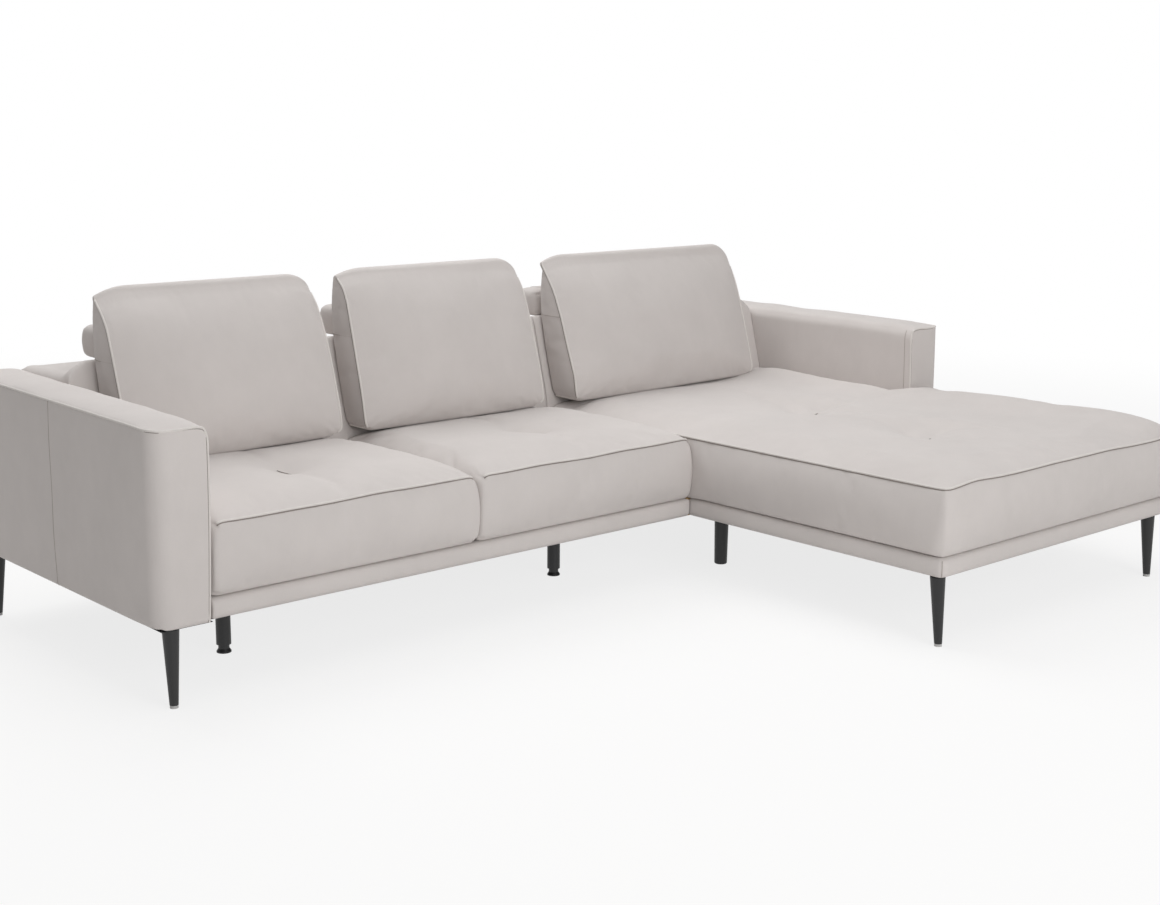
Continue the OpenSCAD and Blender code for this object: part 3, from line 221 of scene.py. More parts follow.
def fine_pattern(name, colour, kind, output, pattern, tones, relief, skin):
    """A finish with one fine pattern, which shades the colour between two tones and
    raises the surface. relief is the strength and the depth of that."""
    material, add, place = new_material(name)
    marks = add(kind, {"Vector": place, **pattern}).outputs[output]
    tone = add("Mix", {0: marks, 6: shaded(colour, tones[0]), 7: shaded(colour, tones[1])},
               data_type="RGBA")
    bump = add("Bump", {"Height": marks, "Strength": relief[0], "Distance": relief[1]})
    shader = add("BsdfPrincipled", {"Base Color": tone.outputs[2], "Normal": bump, **skin})
    add("OutputMaterial", {"Surface": shader})
    return material


def cord_cover(name, colour):
    """The same velour cut on the bias and sewn round a cord: smoother, without patches. It takes
    the colour given: lighter than the cover for the welt, as a painted highlight, and darker for
    the folds and seams, as painted shade.
    """
    return fine_pattern(name, colour, "TexNoise", "Fac", {"Scale": 1 / 0.0018, "Detail": 2},
                        (0.93, 1.05), (0.3, 0.0004),
                        {"Roughness": 0.9, "Specular IOR Level": 0.15, "Sheen Weight": 0.15,
                         "Sheen Roughness": 0.5})


def moulded_plastic(name, colour):
    """Injection moulded polyamide: dull, even, with a fine grain from the mould."""
    return fine_pattern(name, colour, "TexNoise", "Fac", {"Scale": 1 / 0.001, "Detail": 1},
                        (0.95, 1.03), (0.2, 0.0002), {"Roughness": 0.5})


def bottom_cloth(name, colour):
    """Spun-bonded black cloth: matt, thin, with a pressed dot pattern 1.5 mm apart."""
    return fine_pattern(name, colour, "TexVoronoi", "Distance", {"Scale": 1 / 0.0015},
                        (1.3, 0.7), (0.3, 0.0003),
                        {"Roughness": 0.95, "Specular IOR Level": 0.2})


def powder_coat(name, colour):
    """Powder coated steel, satin black: an even paint with a faint orange peel."""
    material, add, place = new_material(name)
    peel = add("TexNoise", {"Vector": place, "Scale": 1 / 0.0012, "Detail": 1})
    dust = add("TexNoise", {"Vector": place, "Scale": 1 / 0.03, "Detail": 4}).outputs["Fac"]
    tone = add("Mix", {0: dust, 6: shaded(colour, 0.85), 7: shaded(colour, 1.2)},
               data_type="RGBA")
    rough = add("MapRange", {"Value": dust, "To Min": 0.38, "To Max": 0.52})
    bump = add("Bump", {"Height": peel.outputs["Fac"], "Strength": 0.15,
                        "Distance": 0.0002})
    shader = add("BsdfPrincipled", {"Base Color": tone.outputs[2], "Roughness": rough,
                                    "Normal": bump, "IOR": 1.5})
    add("OutputMaterial", {"Surface": shader})
    return material


def zinc_plate(name, colour, stretch):
    """Zinc plated or drawn steel: dull bright metal with fine marks along one direction."""
    material, add, place = new_material(name)
    lines = add("Mapping", {"Vector": place, "Scale": stretch})
    marks = add("TexNoise", {"Vector": lines, "Scale": 1 / 0.0015, "Detail": 3}).outputs["Fac"]
    rough = add("MapRange", {"Value": marks, "To Min": 0.28, "To Max": 0.45})
    tone = add("Mix", {0: marks, 6: shaded(colour, 0.88), 7: shaded(colour, 1.05)},
               data_type="RGBA")
    shader = add("BsdfPrincipled", {"Base Color": tone.outputs[2], "Roughness": rough,
                                    "Metallic": 1.0})
    add("OutputMaterial", {"Surface": shader})
    return material


def softwood(name, colour):
    """Planed spruce: pale, with growth rings about 4 mm apart along the board."""
    material, add, place = new_material(name)
    turned = add("Mapping", {"Vector": place, "Scale": (0.12, 1, 1)})
    rings = add("TexWave", {"Vector": turned, "Scale": 1 / 0.012, "Distortion": 4,
                            "Detail": 3}, wave_type="RINGS", rings_direction="X")
    fibres = add("TexNoise", {"Vector": turned, "Scale": 1 / 0.0015, "Detail": 2})
    tone = add("Mix", {0: rings.outputs["Fac"], 6: shaded(colour, 0.8),
                       7: shaded(colour, 1.1)}, data_type="RGBA")
    bump = add("Bump", {"Height": fibres.outputs["Fac"], "Strength": 0.2,
                        "Distance": 0.0004})
    shader = add("BsdfPrincipled", {"Base Color": tone.outputs[2], "Normal": bump,
                                    "Roughness": 0.65})
    add("OutputMaterial", {"Surface": shader})
    return material


def finish(name):
    """The sofa's finishes by name, each made once."""
    if name in bpy.data.materials:
        return bpy.data.materials[name]
    colours = bpy.context.scene.sofa_colours
    makers = {
        "greige_velour": (velour, colours.fabric),
        # The welt's colour paints a highlight; the fold's and the seam's colours paint shade
        "velour_cord": (cord_cover, colours.welt),
        "velour_fold": (cord_cover, colours.fold),
        "seam_thread": (cord_cover, colours.seam_shade),
        "black_powder_coat": (powder_coat, colours.black),
        "bright_zinc_plate": (zinc_plate, colours.zinc, (1, 1, 0.1)),
        "drawn_spring_wire": (zinc_plate, colours.zinc, (0.3, 0.3, 1)),
        "planed_spruce": (softwood, colours.timber),
        "grey_polyamide": (moulded_plastic, colours.glide),
        "black_bottom_cloth": (bottom_cloth, colours.cloth),
    }
    maker, *values = makers[name]
    return maker(name, *values)


# Shapes


def block(sizes, step, crowd=0.5):
    """A closed box from -1 to 1, cut into a grid whose lines crowd towards its edges."""
    bm = bmesh.new()
    bmesh.ops.create_cube(bm, size=2)
    for axis in range(3):
        cuts = max(round(sizes[axis] / step) - 1, 1)
        lines = [e for e in bm.edges if abs(e.verts[0].co[axis] - e.verts[1].co[axis]) > 1]
        bmesh.ops.subdivide_edges(bm, edges=lines, cuts=cuts, use_grid_fill=True)
    for v in bm.verts:
        for axis in range(3):
            share = (v.co[axis] + 1) / 2
            v.co[axis] = 2 * (share - crowd * math.sin(2 * math.pi * share) / (2 * math.pi)) - 1
    return bm


def turned_in(a, b):
    """Two distances past the middle of a round, brought in from its corner onto it."""
    scale = max(a, b) / math.hypot(a, b)
    return a * scale, b * scale


def round_edge(co, half, faces, radius):
    """Rounds one edge of a box. faces names the two that meet there, such as "-x+z"."""
    i, j = ALONG[faces[1]], ALONG[faces[3]]
    si, sj = SIGN[faces[0]], SIGN[faces[2]]
    di = si * co[i] - half[i] + radius
    dj = sj * co[j] - half[j] + radius
    if di > 0 and dj > 0:
        di, dj = turned_in(di, dj)
        co[i] = si * (half[i] - radius + di)
        co[j] = sj * (half[j] - radius + dj)


def soft_box(g, half, radii):
    """A grid point placed in a box of these half sizes, whose named edges are rounded
    one after the other. radii gives the radius of each."""
    co = Vector((g.x * half.x, g.y * half.y, g.z * half.z))
    for faces, radius in radii.items():
        round_edge(co, half, faces, radius)
    return co


def rise(share, power):
    """From 0 at a rim, where the share is -1 or 1, to 1 in the middle."""
    return 1 - min(abs(share), 1) ** power


def swelling(t):
    """From 0 at both ends of a side, where t is 0 or 1, to 1 half way."""
    return math.sin(math.pi * t)


def soft_step(past, width):
    """From 0 before a place to 1 past it, changing softly over a width."""
    return 1 / (1 + math.exp(-past / width))


def between(table, t):
    """A value read off a table of (place, value), straight from row to row."""
    for (t0, v0), (t1, v1) in zip(table, table[1:]):
        if t <= t1:
            s = min(max((t - t0) / (t1 - t0), 0), 1)
            return v0 + (v1 - v0) * s
    return table[-1][1]


def ripple(co, size, depth, seed):
    """Soft unevenness of padding: a smooth value that depends only on the place."""
    return depth * noise.noise(Vector(co) / size + Vector((seed, 2.3 * seed, 0.7 * seed)))


def groove(x, y, path, width):
    """How near a point lies to a drawn path, from 0 far away to 1 on it."""
    nearest = 1.0
    for (x0, y0), (x1, y1) in zip(path, path[1:]):
        dx, dy = x1 - x0, y1 - y0
        s = min(max(((x - x0) * dx + (y - y0) * dy) / (dx * dx + dy * dy), 0), 1)
        nearest = min(nearest, math.hypot(x - x0 - s * dx, y - y0 - s * dy))
    return math.exp(-(nearest / width) ** 2)


def new_object(name, data):
    """An object at the origin, in the scene."""
    item = bpy.data.objects.new(name, data)
    bpy.context.scene.collection.objects.link(item)
    return item


def mesh_piece(name, bm, material):
    """A smooth-shaded object at the origin from a bmesh."""
    for face in bm.faces:
        face.smooth = True
    mesh = bpy.data.meshes.new(name)
    bm.to_mesh(mesh)
    bm.free()
    mesh.materials.append(material)
    return new_object(name, mesh)


def shaped_piece(name, sizes, step, shape, crowd=0.5, mirrored=False):
    """A padded form: a cut box whose points are moved by shape(grid point).
    Gives the object and the grid point of each vertex."""
    bm = block(sizes, step, crowd)
    grid = [v.co.copy() for v in bm.verts]
    for v, g in zip(bm.verts, grid):
        v.co = shape(g)
    if mirrored:
        bmesh.ops.reverse_faces(bm, faces=bm.faces[:])
    return mesh_piece(name, bm, finish("greige_velour")), grid


# A firm cover over a soft filling, 4 mm of slack in every metre left in it
COVER = {"quality": 5, "mass": 0.35, "tension_stiffness": 25, "compression_stiffness": 25,
         "shear_stiffness": 8, "bending_stiffness": 1.5, "use_pressure": True,
         "vertex_group_mass": "held", "shrink_min": -0.004}
SWELL_FRAMES = 20


def swell(pieces, pressure, limit):
    """Runs a cloth simulation with air inside the covers, which are held where their
    weight is 1, and keeps the result. pieces is a list of (object, weights)."""
    scene = bpy.context.scene
    for piece, weights in pieces:
        held = piece.vertex_groups.new(name="held")
        for index, weight in enumerate(weights):
            if weight > 0:
                held.add([index], weight, "REPLACE")
        cloth = piece.modifiers.new("Swell", "CLOTH")
        for key, value in COVER.items():
            setattr(cloth.settings, key, value)
        cloth.settings.uniform_pressure_force = pressure
        cloth.settings.effector_weights.gravity = 0
        cloth.collision_settings.use_collision = False
        cloth.collision_settings.use_self_collision = False
        cloth.point_cache.frame_start = 1
        cloth.point_cache.frame_end = SWELL_FRAMES
    for number in range(1, SWELL_FRAMES + 1):
        scene.frame_set(number)
    depsgraph = bpy.context.evaluated_depsgraph_get()
    for piece, _ in pieces:
        moved = piece.evaluated_get(depsgraph).to_mesh()
        places = [v.co.copy() for v in moved.vertices]
        piece.evaluated_get(depsgraph).to_mesh_clear()
        piece.modifiers.remove(piece.modifiers["Swell"])
        piece.vertex_groups.clear()
        for vertex, place in zip(piece.data.vertices, places):
            step = place - vertex.co
            if step.length > limit:
                step *= limit / step.length
            vertex.co += step
    scene.frame_set(1)


def on(g, faces):
    """Whether a grid point lies on all the named faces of its box, such as "-y+z"."""
    return all(SIGN[sign] * g[ALONG[axis]] > ON_FACE
               for sign, axis in zip(faces[::2], faces[1::2]))


def seam_points(piece, grid, faces, order, near=None):
    """The piece's points on the named faces, sorted along a direction such as "-z".
    near, an axis and a place on it, takes only the grid line that is nearest to it."""
    chosen = [(SIGN[order[0]] * g[ALONG[order[1]]], i) for i, g in enumerate(grid)
              if on(g, faces)]
    if near:
        axis, aim = ALONG[near[0]], near[1]
        level = min((abs(grid[i][axis] - aim), grid[i][axis]) for _, i in chosen)[1]
        chosen = [(key, i) for key, i in chosen if abs(grid[i][axis] - level) < 1e-6]
    return [piece.data.vertices[i].co.copy() for _, i in sorted(chosen)]


def rim(piece, grid, *stretches):
    """One path along seams that meet, each given by its faces and its direction."""
    path = []
    for faces, order in stretches:
        for point in seam_points(piece, grid, faces, order):
            if not path or point != path[-1]:
                path.append(point)
    return path


def smoothed(points, rounds):
    """A path with its small steps evened out; its ends stay."""
    for _ in range(rounds):
        points = [points[0]] + [(a + 2 * b + c) / 4 for a, b, c
                                in zip(points, points[1:], points[2:])] + [points[-1]]
    return points


def cord(name, points, diameter, material, body="sofa",
         resolution=3):
    """A welt, or a line of painted shade along a seam or fold: a thin round tube along points,
    riding on a body.
    """
    curve = bpy.data.curves.new(name, "CURVE")
    curve.dimensions = "3D"
    curve.bevel_depth = diameter / 2
    curve.bevel_resolution = resolution
    curve.use_fill_caps = True
    spline = curve.splines.new("POLY")
    spline.points.add(len(points) - 1)
    for point, place in zip(spline.points, points):
        point.co = (*place, 1)
    spline.use_smooth = True
    curve.materials.append(finish(material))
    piece = new_object(name, curve)
    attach(piece, body)


def pull_in(piece, path, depth, width):
    """Stitches that draw the swollen top of a seat down along a path."""
    for v in piece.data.vertices:
        if v.co.z > PIPING_Z:
            v.co.z -= min(depth, v.co.z - PIPING_Z) * groove(v.co.x, v.co.y, path, width)


# Points in each stretch of the painted shade line over a sewn fold, and how far it lies over the
# cover
FOLD_STEPS = 8
FOLD_LIFT = 0.3


def painted_stitch_shade(name, piece, path, diameter):
    """A thin dark cord that paints the shade in the fold over a row of stitches in the top of a
    seat.
    """
    tree = BVHTree.FromObject(piece, bpy.context.evaluated_depsgraph_get())
    points = []
    for (ax, ay), (bx, by) in zip(path, path[1:]):
        for i in range(FOLD_STEPS + 1):
            x, y = ax + (bx - ax) * i / FOLD_STEPS, ay + (by - ay) * i / FOLD_STEPS
            points.append(tree.ray_cast(Vector((x, y, 1)), Vector((0, 0, -1)))[0])
            points[-1].z += FOLD_LIFT * diameter
    cord(name, smoothed(points, 4), diameter, "velour_fold", resolution=1)


def drawn_seam(name, points, sizes, body="sofa"):
    """A seam shown as a thin line, darker than the cover: painted shade in its groove."""
    cord(name, points, sizes.seam_shade, "seam_thread", body, 1)


def piped(name, points, sizes, fold_side, body="sofa", share=1.0):
    """A welt, and a thin dark cord beside it that paints the shade in the fold the cover makes
    there.
    """
    cord(name, points, sizes.welt, "velour_cord", body)
    cord(name + "_fold", [p + Vector(fold_side(p)) for p in points], share * sizes.fold,
         "velour_fold", body, 1)


def dress(piece, nodes, body="sofa"):
    smooth = piece.modifiers.new("Smooth", "SUBSURF")
    smooth.levels = smooth.render_levels = 1
    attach(piece, body)
    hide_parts(*nodes)


# Seats

# Radius of a seat's long upper edges
SEAT_R = 0.028
# Where the tufts and the stitched lines run, seen from above
SEAT_TUFTS = {"left": [(-0.855, 0.279), (-0.845, 0.227)],
              "middle": [(-0.09, 0.282), (-0.047, 0.22)]}
SEAT_LINES = {"left": [(-0.84, 0.18), (-0.846, 0.09), (-0.853, 0.007), (-0.87, -0.045)],
              "middle": [(-0.07, 0.185), (-0.066, 0.13), (-0.075, 0.072), (-0.094, -0.03)]}


def under_cushion(y):
    """From 0 in the open to 1 where the weight of the back cushions presses a seat down."""
    return soft_step(y - 0.462, 0.01)


def seat_shape(side, x0, x1, sizes):
    """The form of a seat cushion between x0 and x1, before it swells."""
    half = Vector((x1 - x0, Y_BACK - REST_GAP - Y_SEAT, PIPING_Z - RAIL_TOP)) / 2
    centre = Vector(((x0 + x1) / 2, Y_SEAT + half.y, RAIL_TOP + half.z))
    tuft_shade = SEAT_TUFTS[side]
    line = SEAT_LINES[side]

    def shape(g):
        ahead = max(-g.y, 0) ** 6
        # The middle seat's right end closes the corner to the chaise
        beside = 0.02 if side == "left" else 0.006
        co = soft_box(g, half, {"-x-y": 0.016, "+x-y": 0.016, "-x+z": SEAT_R, "+x+z": SEAT_R,
                                "-y+z": 0.005, "-y-z": 0.022, "-x-z": 0.004 + 0.02 * ahead,
                                "+x-z": 0.004 + beside * ahead, "+y+z": 0.02})
        t = (g.z + 1) / 2
        top = max(g.z, 0) ** 6
        co.z += top * SEAT_CROWN * rise(g.x, 10) * (rise(g.y, 7) if g.y < 0 else 1)
        front = max(-g.y, 0) ** 8
        co.y -= front * sizes.seat_front_swell * swelling(t) ** 0.7
        co.x += front * g.x ** 9 * (0.004 * swelling(t) - 0.008 * t ** 4)
        co += centre
        if g.z > 0:
            fade = min(max((co.y - Y_SEAT) / 0.09, 0), 1)
            co.z -= top * (0.4 * sizes.tuft_depth * groove(co.x, co.y, tuft_shade, 0.045)
                           + 0.9 * sizes.tuft_depth * groove(co.x, co.y, tuft_shade, 0.014)
                           + fade * 0.0022 * groove(co.x, co.y, line, 0.01)
                           + fade * 0.0035 * groove(co.x, co.y, line, 0.045)
                           + PRESSED * under_cushion(co.y))
            co.z += top * ripple(co, 0.17, 0.004, 3.1 if side == "left" else 7.7)
        return co

    return shape, half, centre


def seat_weights(grid, tuft_shade, half, centre):
    """Where a seat cover is held: its seams, its tuft and the faces that touch others."""
    weights = []
    for g in grid:
        x, y = centre.x + g.x * half.x, centre.y + g.y * half.y
        tufted = on(g, "+z") and groove(x, y, tuft_shade, 0.01) > 0.4
        hidden = on(g, "-z") or on(g, "+y") or (abs(g.x) > ON_FACE and g.z < 0.6)
        weights.append(1.0 if on(g, "-y+z") or tufted or hidden else 0.0)
    return weights


class SOFA_OT_seats(bpy.types.Operator):
    """Makes the two seat cushions with their piping and stitched lines"""

    bl_idname = "sofa.seats"
    bl_label = "Seat cushions"

    def execute(self, context):
        sizes = context.scene.sofa_sizes
        made = []
        for side, x0, x1 in (("left", X_SEAT + CLEAR, X_MIDDLE - CLEAR),
                             ("middle", X_MIDDLE + CLEAR, X_JOINT - CLEAR)):
            shape, half, centre = seat_shape(side, x0, x1, sizes)
            piece, grid = shaped_piece(f"seat_{side}", 2 * half, CELL["seat"], shape)
            made.append((side, piece, grid, half, centre))
        swell([(piece, seat_weights(grid, SEAT_TUFTS[side], half, centre))
               for side, piece, grid, half, centre in made], sizes.pressure, sizes.swell_limit)
        for side, piece, grid, half, centre in made:
            pull_in(piece, SEAT_TUFTS[side], 0.4 * sizes.tuft_depth, 0.028)
            front = seam_points(piece, grid, "-y+z", "+x")
            dress(piece, [f"{side}_seat_cushion"])
            painted_stitch_shade(f"seat_{side}_tuft", piece, SEAT_TUFTS[side], sizes.seam_shade * 1.6)
            piped(f"seat_{side}_welt", smoothed(front, 3), sizes,
                  lambda p: (0, -0.0022, -0.0032))
        return {"FINISHED"}


# Chaise

# Each tuft pulls the cover into a short curved fold
CHAISE_TUFTS = ([(0.78, 0.03), (0.737, -0.043), (0.742, -0.065), (0.786, -0.06),
                 (0.834, -0.031)],
                [(0.739, -0.433), (0.714, -0.475), (0.712, -0.502), (0.747, -0.497),
                 (0.816, -0.471)])
# Height of the piping along the front, over its plain height
CHAISE_WAVE = ((0.2745, 0.001), (0.31, 0.003), (0.39, 0.009), (0.53, 0.008), (0.79, 0.005),
               (1.36, 0.004))
# Behind this the cushion is narrower, because the right arm stands beside it
NOTCH_Y = Y_ARM - CLEAR


class SOFA_OT_chaise(bpy.types.Operator):
    """Makes the long chaise cushion with its piping and tufts"""

    bl_idname = "sofa.chaise"
    bl_label = "Chaise cushion"

    def execute(self, context):
        sizes = context.scene.sofa_sizes
        x0, x1 = X_JOINT + 2 * CLEAR, X_CHAISE_RIGHT
        half = Vector((x1 - x0, Y_BACK - REST_GAP - Y_CHAISE, PIPING_Z - RAIL_TOP)) / 2
        centre = Vector(((x0 + x1) / 2, Y_CHAISE + half.y, RAIL_TOP + half.z))

        def shape(g):
            t = (g.z + 1) / 2
            corner = 0.014 + 0.04 * (1 - t) ** 2
            beside = soft_step(centre.y + g.y * half.y - Y_SEAT, 0.006)
            co = soft_box(g, half, {"-x-y": corner, "+x-y": corner, "-x+z": 0.005,
                                    "+x+z": 0.005, "-y+z": 0.005,
                                    "-x-z": 0.02 - 0.017 * beside, "+x-z": 0.02,
                                    "-y-z": 0.02})
            top = max(g.z, 0) ** 6
            inner = rise(g.y, 18) if g.y < 0 else 1
            co.z += top * SEAT_CROWN * rise(g.x, 14 if g.x < 0 else 34) * inner
            bump = 0.023 - 0.011 * math.exp(-((centre.y + co.y) / 0.35) ** 2)
            co.z += top * bump * math.exp(-((g.x - 0.9) / 0.25) ** 2) * rise(g.x, 40) * inner
            co.z += top * max(-g.y, 0) ** 10 * between(CHAISE_WAVE, centre.x + co.x)
            swell_out = sizes.seat_front_swell * swelling(t) ** 0.7
            # The sides swell where no arm and no seat stands beside them
            free = soft_step(-0.04 - centre.y - co.y, 0.03)
            co.y -= max(-g.y, 0) ** 16 * swell_out
            co.x += g.x ** 15 * swell_out * (free if g.x > 0 else 0.15 + 0.85 * free)
            co += centre
            if co.y > NOTCH_Y:
                share = (co.x - x0) / (x1 - x0)
                co.x = x0 + share * (X_ARM - CLEAR - x0)
            if g.z > 0:
                for path in CHAISE_TUFTS:
                    co.z -= top * sizes.tuft_depth * (0.5 * groove(co.x, co.y, path, 0.05)
                                                      + 1.3 * groove(co.x, co.y, path, 0.02))
                co.z -= top * PRESSED * under_cushion(co.y)
                co.z += top * rise(g.x, 6) * (ripple(co, 0.2, 0.006, 5.3)
                                              + ripple(co, 0.09, 0.0015, 1.9))
            return co

        piece, grid = shaped_piece("seat_chaise", 2 * half, CELL["chaise"], shape)
        weights = []
        for g, v in zip(grid, piece.data.vertices):
            edge = on(g, "+z") and (abs(g.x) > ON_FACE or on(g, "-y"))
            tufted = on(g, "+z") and any(groove(v.co.x, v.co.y, path, 0.02) > 0.5
                                         for path in CHAISE_TUFTS)
            hidden = (on(g, "-z") or on(g, "+y") or v.co.y > NOTCH_Y - 0.02 and on(g, "+x")
                      or v.co.y > Y_SEAT - 0.03 and on(g, "-x"))
            weights.append(1.0 if edge or tufted or hidden else 0.0)
        swell([(piece, weights)], sizes.pressure, sizes.swell_limit)
        for path in CHAISE_TUFTS:
            pull_in(piece, path, 0.4 * sizes.tuft_depth, 0.05)
        path = rim(piece, grid, ("-x+z", "-y"), ("-y+z", "+x"), ("+x+z", "+y"))
        path = [p for p in path if not (p.x > X_ARM - 0.01 and p.y > NOTCH_Y - 0.003)
                and not (p.x > 0.9 and p.y > NOTCH_Y)]
        dress(piece, ["chaise_cushion"])
        for name, tuft_shade in zip(("rear", "front"), CHAISE_TUFTS):
            painted_stitch_shade(f"seat_chaise_tuft_shade_{name}", piece, tuft_shade[1:-1], sizes.seam_shade * 1.4)
        piped("seat_chaise_welt", smoothed(path, 3), sizes,
              lambda p: (-0.002 * (p.x < x0 + 0.02), -0.002 * (p.y < Y_CHAISE + 0.02),
                         -0.0033))
        return {"FINISHED"}


# Back cushions

# Distance of the front seam from the leaning line at heights of each left and right end
CUSHION_ENDS = {
    "left": (((0.43, 0.108), (0.52, 0.115), (0.61, 0.116), (0.72, 0.11), (0.767, 0.106),
              (0.796, 0.092), (0.836, 0.066)),
             ((0.43, 0.104), (0.503, 0.114), (0.605, 0.112), (0.684, 0.107), (0.734, 0.097),
              (0.779, 0.085), (0.812, 0.066))),
    "middle": (((0.43, 0.096), (0.525, 0.105), (0.6, 0.107), (0.777, 0.109), (0.817, 0.102),
                (0.845, 0.08)),
               ((0.43, 0.098), (0.525, 0.106), (0.618, 0.103), (0.695, 0.0985), (0.762, 0.092),
                (0.81, 0.074))),
    "chaise": (((0.43, 0.11), (0.514, 0.119), (0.594, 0.11), (0.675, 0.104), (0.756, 0.09),
                (0.795, 0.073), (0.838, 0.055)),
               ((0.43, 0.083), (0.543, 0.0815), (0.618, 0.079), (0.676, 0.076), (0.733, 0.07),
                (0.788, 0.058))),
}
# Height of the left ear, of the ridge between and of the right ear
CUSHION_TOPS = {"left": (0.836, 0.858, 0.812), "middle": (0.845, 0.862, 0.81),
                "chaise": (0.838, 0.858, 0.79)}
# Distance of the rear seam from the leaning line, up the cushion's ends and its middle
GUSSET_REAR = ((0, 0.004), (0.4, 0.004), (0.62, 0.011), (0.79, 0.026), (0.91, 0.044),
               (1, 0.06))
MIDDLE_REAR = ((0, 0.002), (0.5, 0.002), (0.7, 0.008), (0.85, 0.02), (0.94, 0.036),
               (1, 0.05))


def leaning_y(z):
    """Front of the fixed back at a height."""
    return Y_BACK + BACK_LEAN * max(z - SEAT_TOP, 0)


# Radius of a cushion's lower corners, seen from the front, and of its lower front edge
CORNER_R = 0.034
LOWER_R = 0.032


def back_cushion_shape(side, low, high, seed):
    """The form of a loose back cushion in its CAD box, before it swells."""
    half_x = (high.x - low.x) / 2 - 0.008
    mid_x = (low.x + high.x) / 2
    z0 = low.z
    left, right = CUSHION_ENDS[side]
    left_top, ridge, right_top = CUSHION_TOPS[side]

    def shape(g):
        t = (g.z + 1) / 2
        x = g.x * half_x
        from_left, from_right = x + half_x, half_x - x
        top = ridge - (ridge - left_top) * max(1 - from_left / 0.09, 0) ** 2
        bend = max(1 - from_right / 0.075, 0)
        top -= (ridge - right_top) * (1 - math.sqrt(1 - bend * bend))
        z = z0 + t * (top - z0)
        nose = 0.008 + 0.006 * rise(g.x, 6)
        z -= nose * t ** 10 * (1 - math.sqrt(max(1 - g.y * g.y, 0)))
        across = (g.x + 1) / 2
        across = across * across * (3 - 2 * across)
        front = (between(left, z0 + t * (left_top - z0)) * (1 - across)
                 + between(right, z0 + t * (right_top - z0)) * across)
        gusset = between(GUSSET_REAR, t)
        rear = gusset + rise(g.x, 3.2) * (between(MIDDLE_REAR, t) - gusset)
        rear = min(rear, front - 0.012)
        front += 0.032 * rise(g.x, 3.5) * rise(2 * t - 0.88, 3) + 0.014 * rise(g.x, 5) * t ** 6
        d = rear + (1 - g.y) / 2 * (front - rear)
        end, low_part = abs(x) - (half_x - CORNER_R), CORNER_R - (z - z0)
        if end > 0 and low_part > 0:
            end, low_part = turned_in(end, low_part)
            x = math.copysign(half_x - CORNER_R + end, x)
            z = z0 + CORNER_R - low_part
        low_part, ahead = LOWER_R - (z - z0), d - front + LOWER_R
        if low_part > 0 and ahead > 0:
            low_part, ahead = turned_in(low_part, ahead)
            z = z0 + LOWER_R - low_part
            d = front - LOWER_R + ahead
        x += math.copysign(0.005, x) * abs(g.x) ** 6 * rise(g.y, 2) * swelling(t)
        d += ripple((x + seed, d, z), 0.13, 0.004, seed) * (1 - g.y) / 2 * rise(g.x, 6)
        if side == "chaise" and g.y < 0 and 0.5 < z < 0.76:
            # The cover puckers along the left seam
            d += 0.0024 * math.sin(math.tau * z / 0.028) * math.exp(-(from_left / 0.035) ** 2)
        return Vector((mid_x + x, leaning_y(z) - CUSHION_GAP - d, z))

    return shape


class SOFA_OT_back_cushions(bpy.types.Operator):
    """Makes the three loose back cushions with their piping and gusset seams"""

    bl_idname = "sofa.back_cushions"
    bl_label = "Back cushions"

    def execute(self, context):
        sizes = context.scene.sofa_sizes
        made = []
        for i, side in enumerate(("left", "middle", "chaise")):
            low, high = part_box(f"{side}_back_cushion")
            shape = back_cushion_shape(side, low, high, 1.7 + 3 * i)
            piece, grid = shaped_piece(f"back_cushion_{side}", (high.x - low.x, 0.12, 0.43),
                                       CELL["back_cushion"], shape)
            made.append((side, piece, grid))
        covers = []
        for side, piece, grid in made:
            weights = []
            for g in grid:
                seam = abs(g.x) > ON_FACE and abs(g.y) > ON_FACE
                resting = on(g, "-z") or on(g, "+y") and g.z < 0.1
                ridge = 0.9 * max((g.z - 0.8) / 0.2, 0)
                weights.append(1.0 if seam or resting or on(g, "+z") else ridge)
            covers.append((piece, weights))
        swell(covers, sizes.pressure, sizes.swell_limit)
        for side, piece, grid in made:
            body = f"{side}_loose_cushion"
            for end, name in (("-x", "left"), ("+x", "right")):
                edge = rim(piece, grid, (end + "-y", "-z"), (end + "-z", "+y"))
                piped(f"back_cushion_{side}_welt_{name}", smoothed(edge, 2), sizes,
                      lambda p: (0.0008 * SIGN[end[0]], 0.0035, 0), body)
                seam = seam_points(piece, grid, end, "+y", near=("z", 0.24))
                drawn_seam(f"back_cushion_{side}_gusset_seam_{name}", seam, sizes, body)
            dress(piece, [f"{side}_back_cushion"], body=body)
        return {"FINISHED"}


# Headrests

# Distance of a bar's end seams from its ends, and how far its cover may swell
HEADREST_SEAM = 0.045
HEADREST_SWELL = 0.004
# Radius of each edge of a bar
HEADREST_EDGES = {"-x-y": 0.03, "-x+y": 0.03, "+x-y": 0.03, "+x+y": 0.03, "-y+z": 0.03,
                  "+y+z": 0.036, "-y-z": 0.024, "+y-z": 0.03, "-x+z": 0.026, "+x+z": 0.026,
                  "-x-z": 0.022, "+x-z": 0.022}


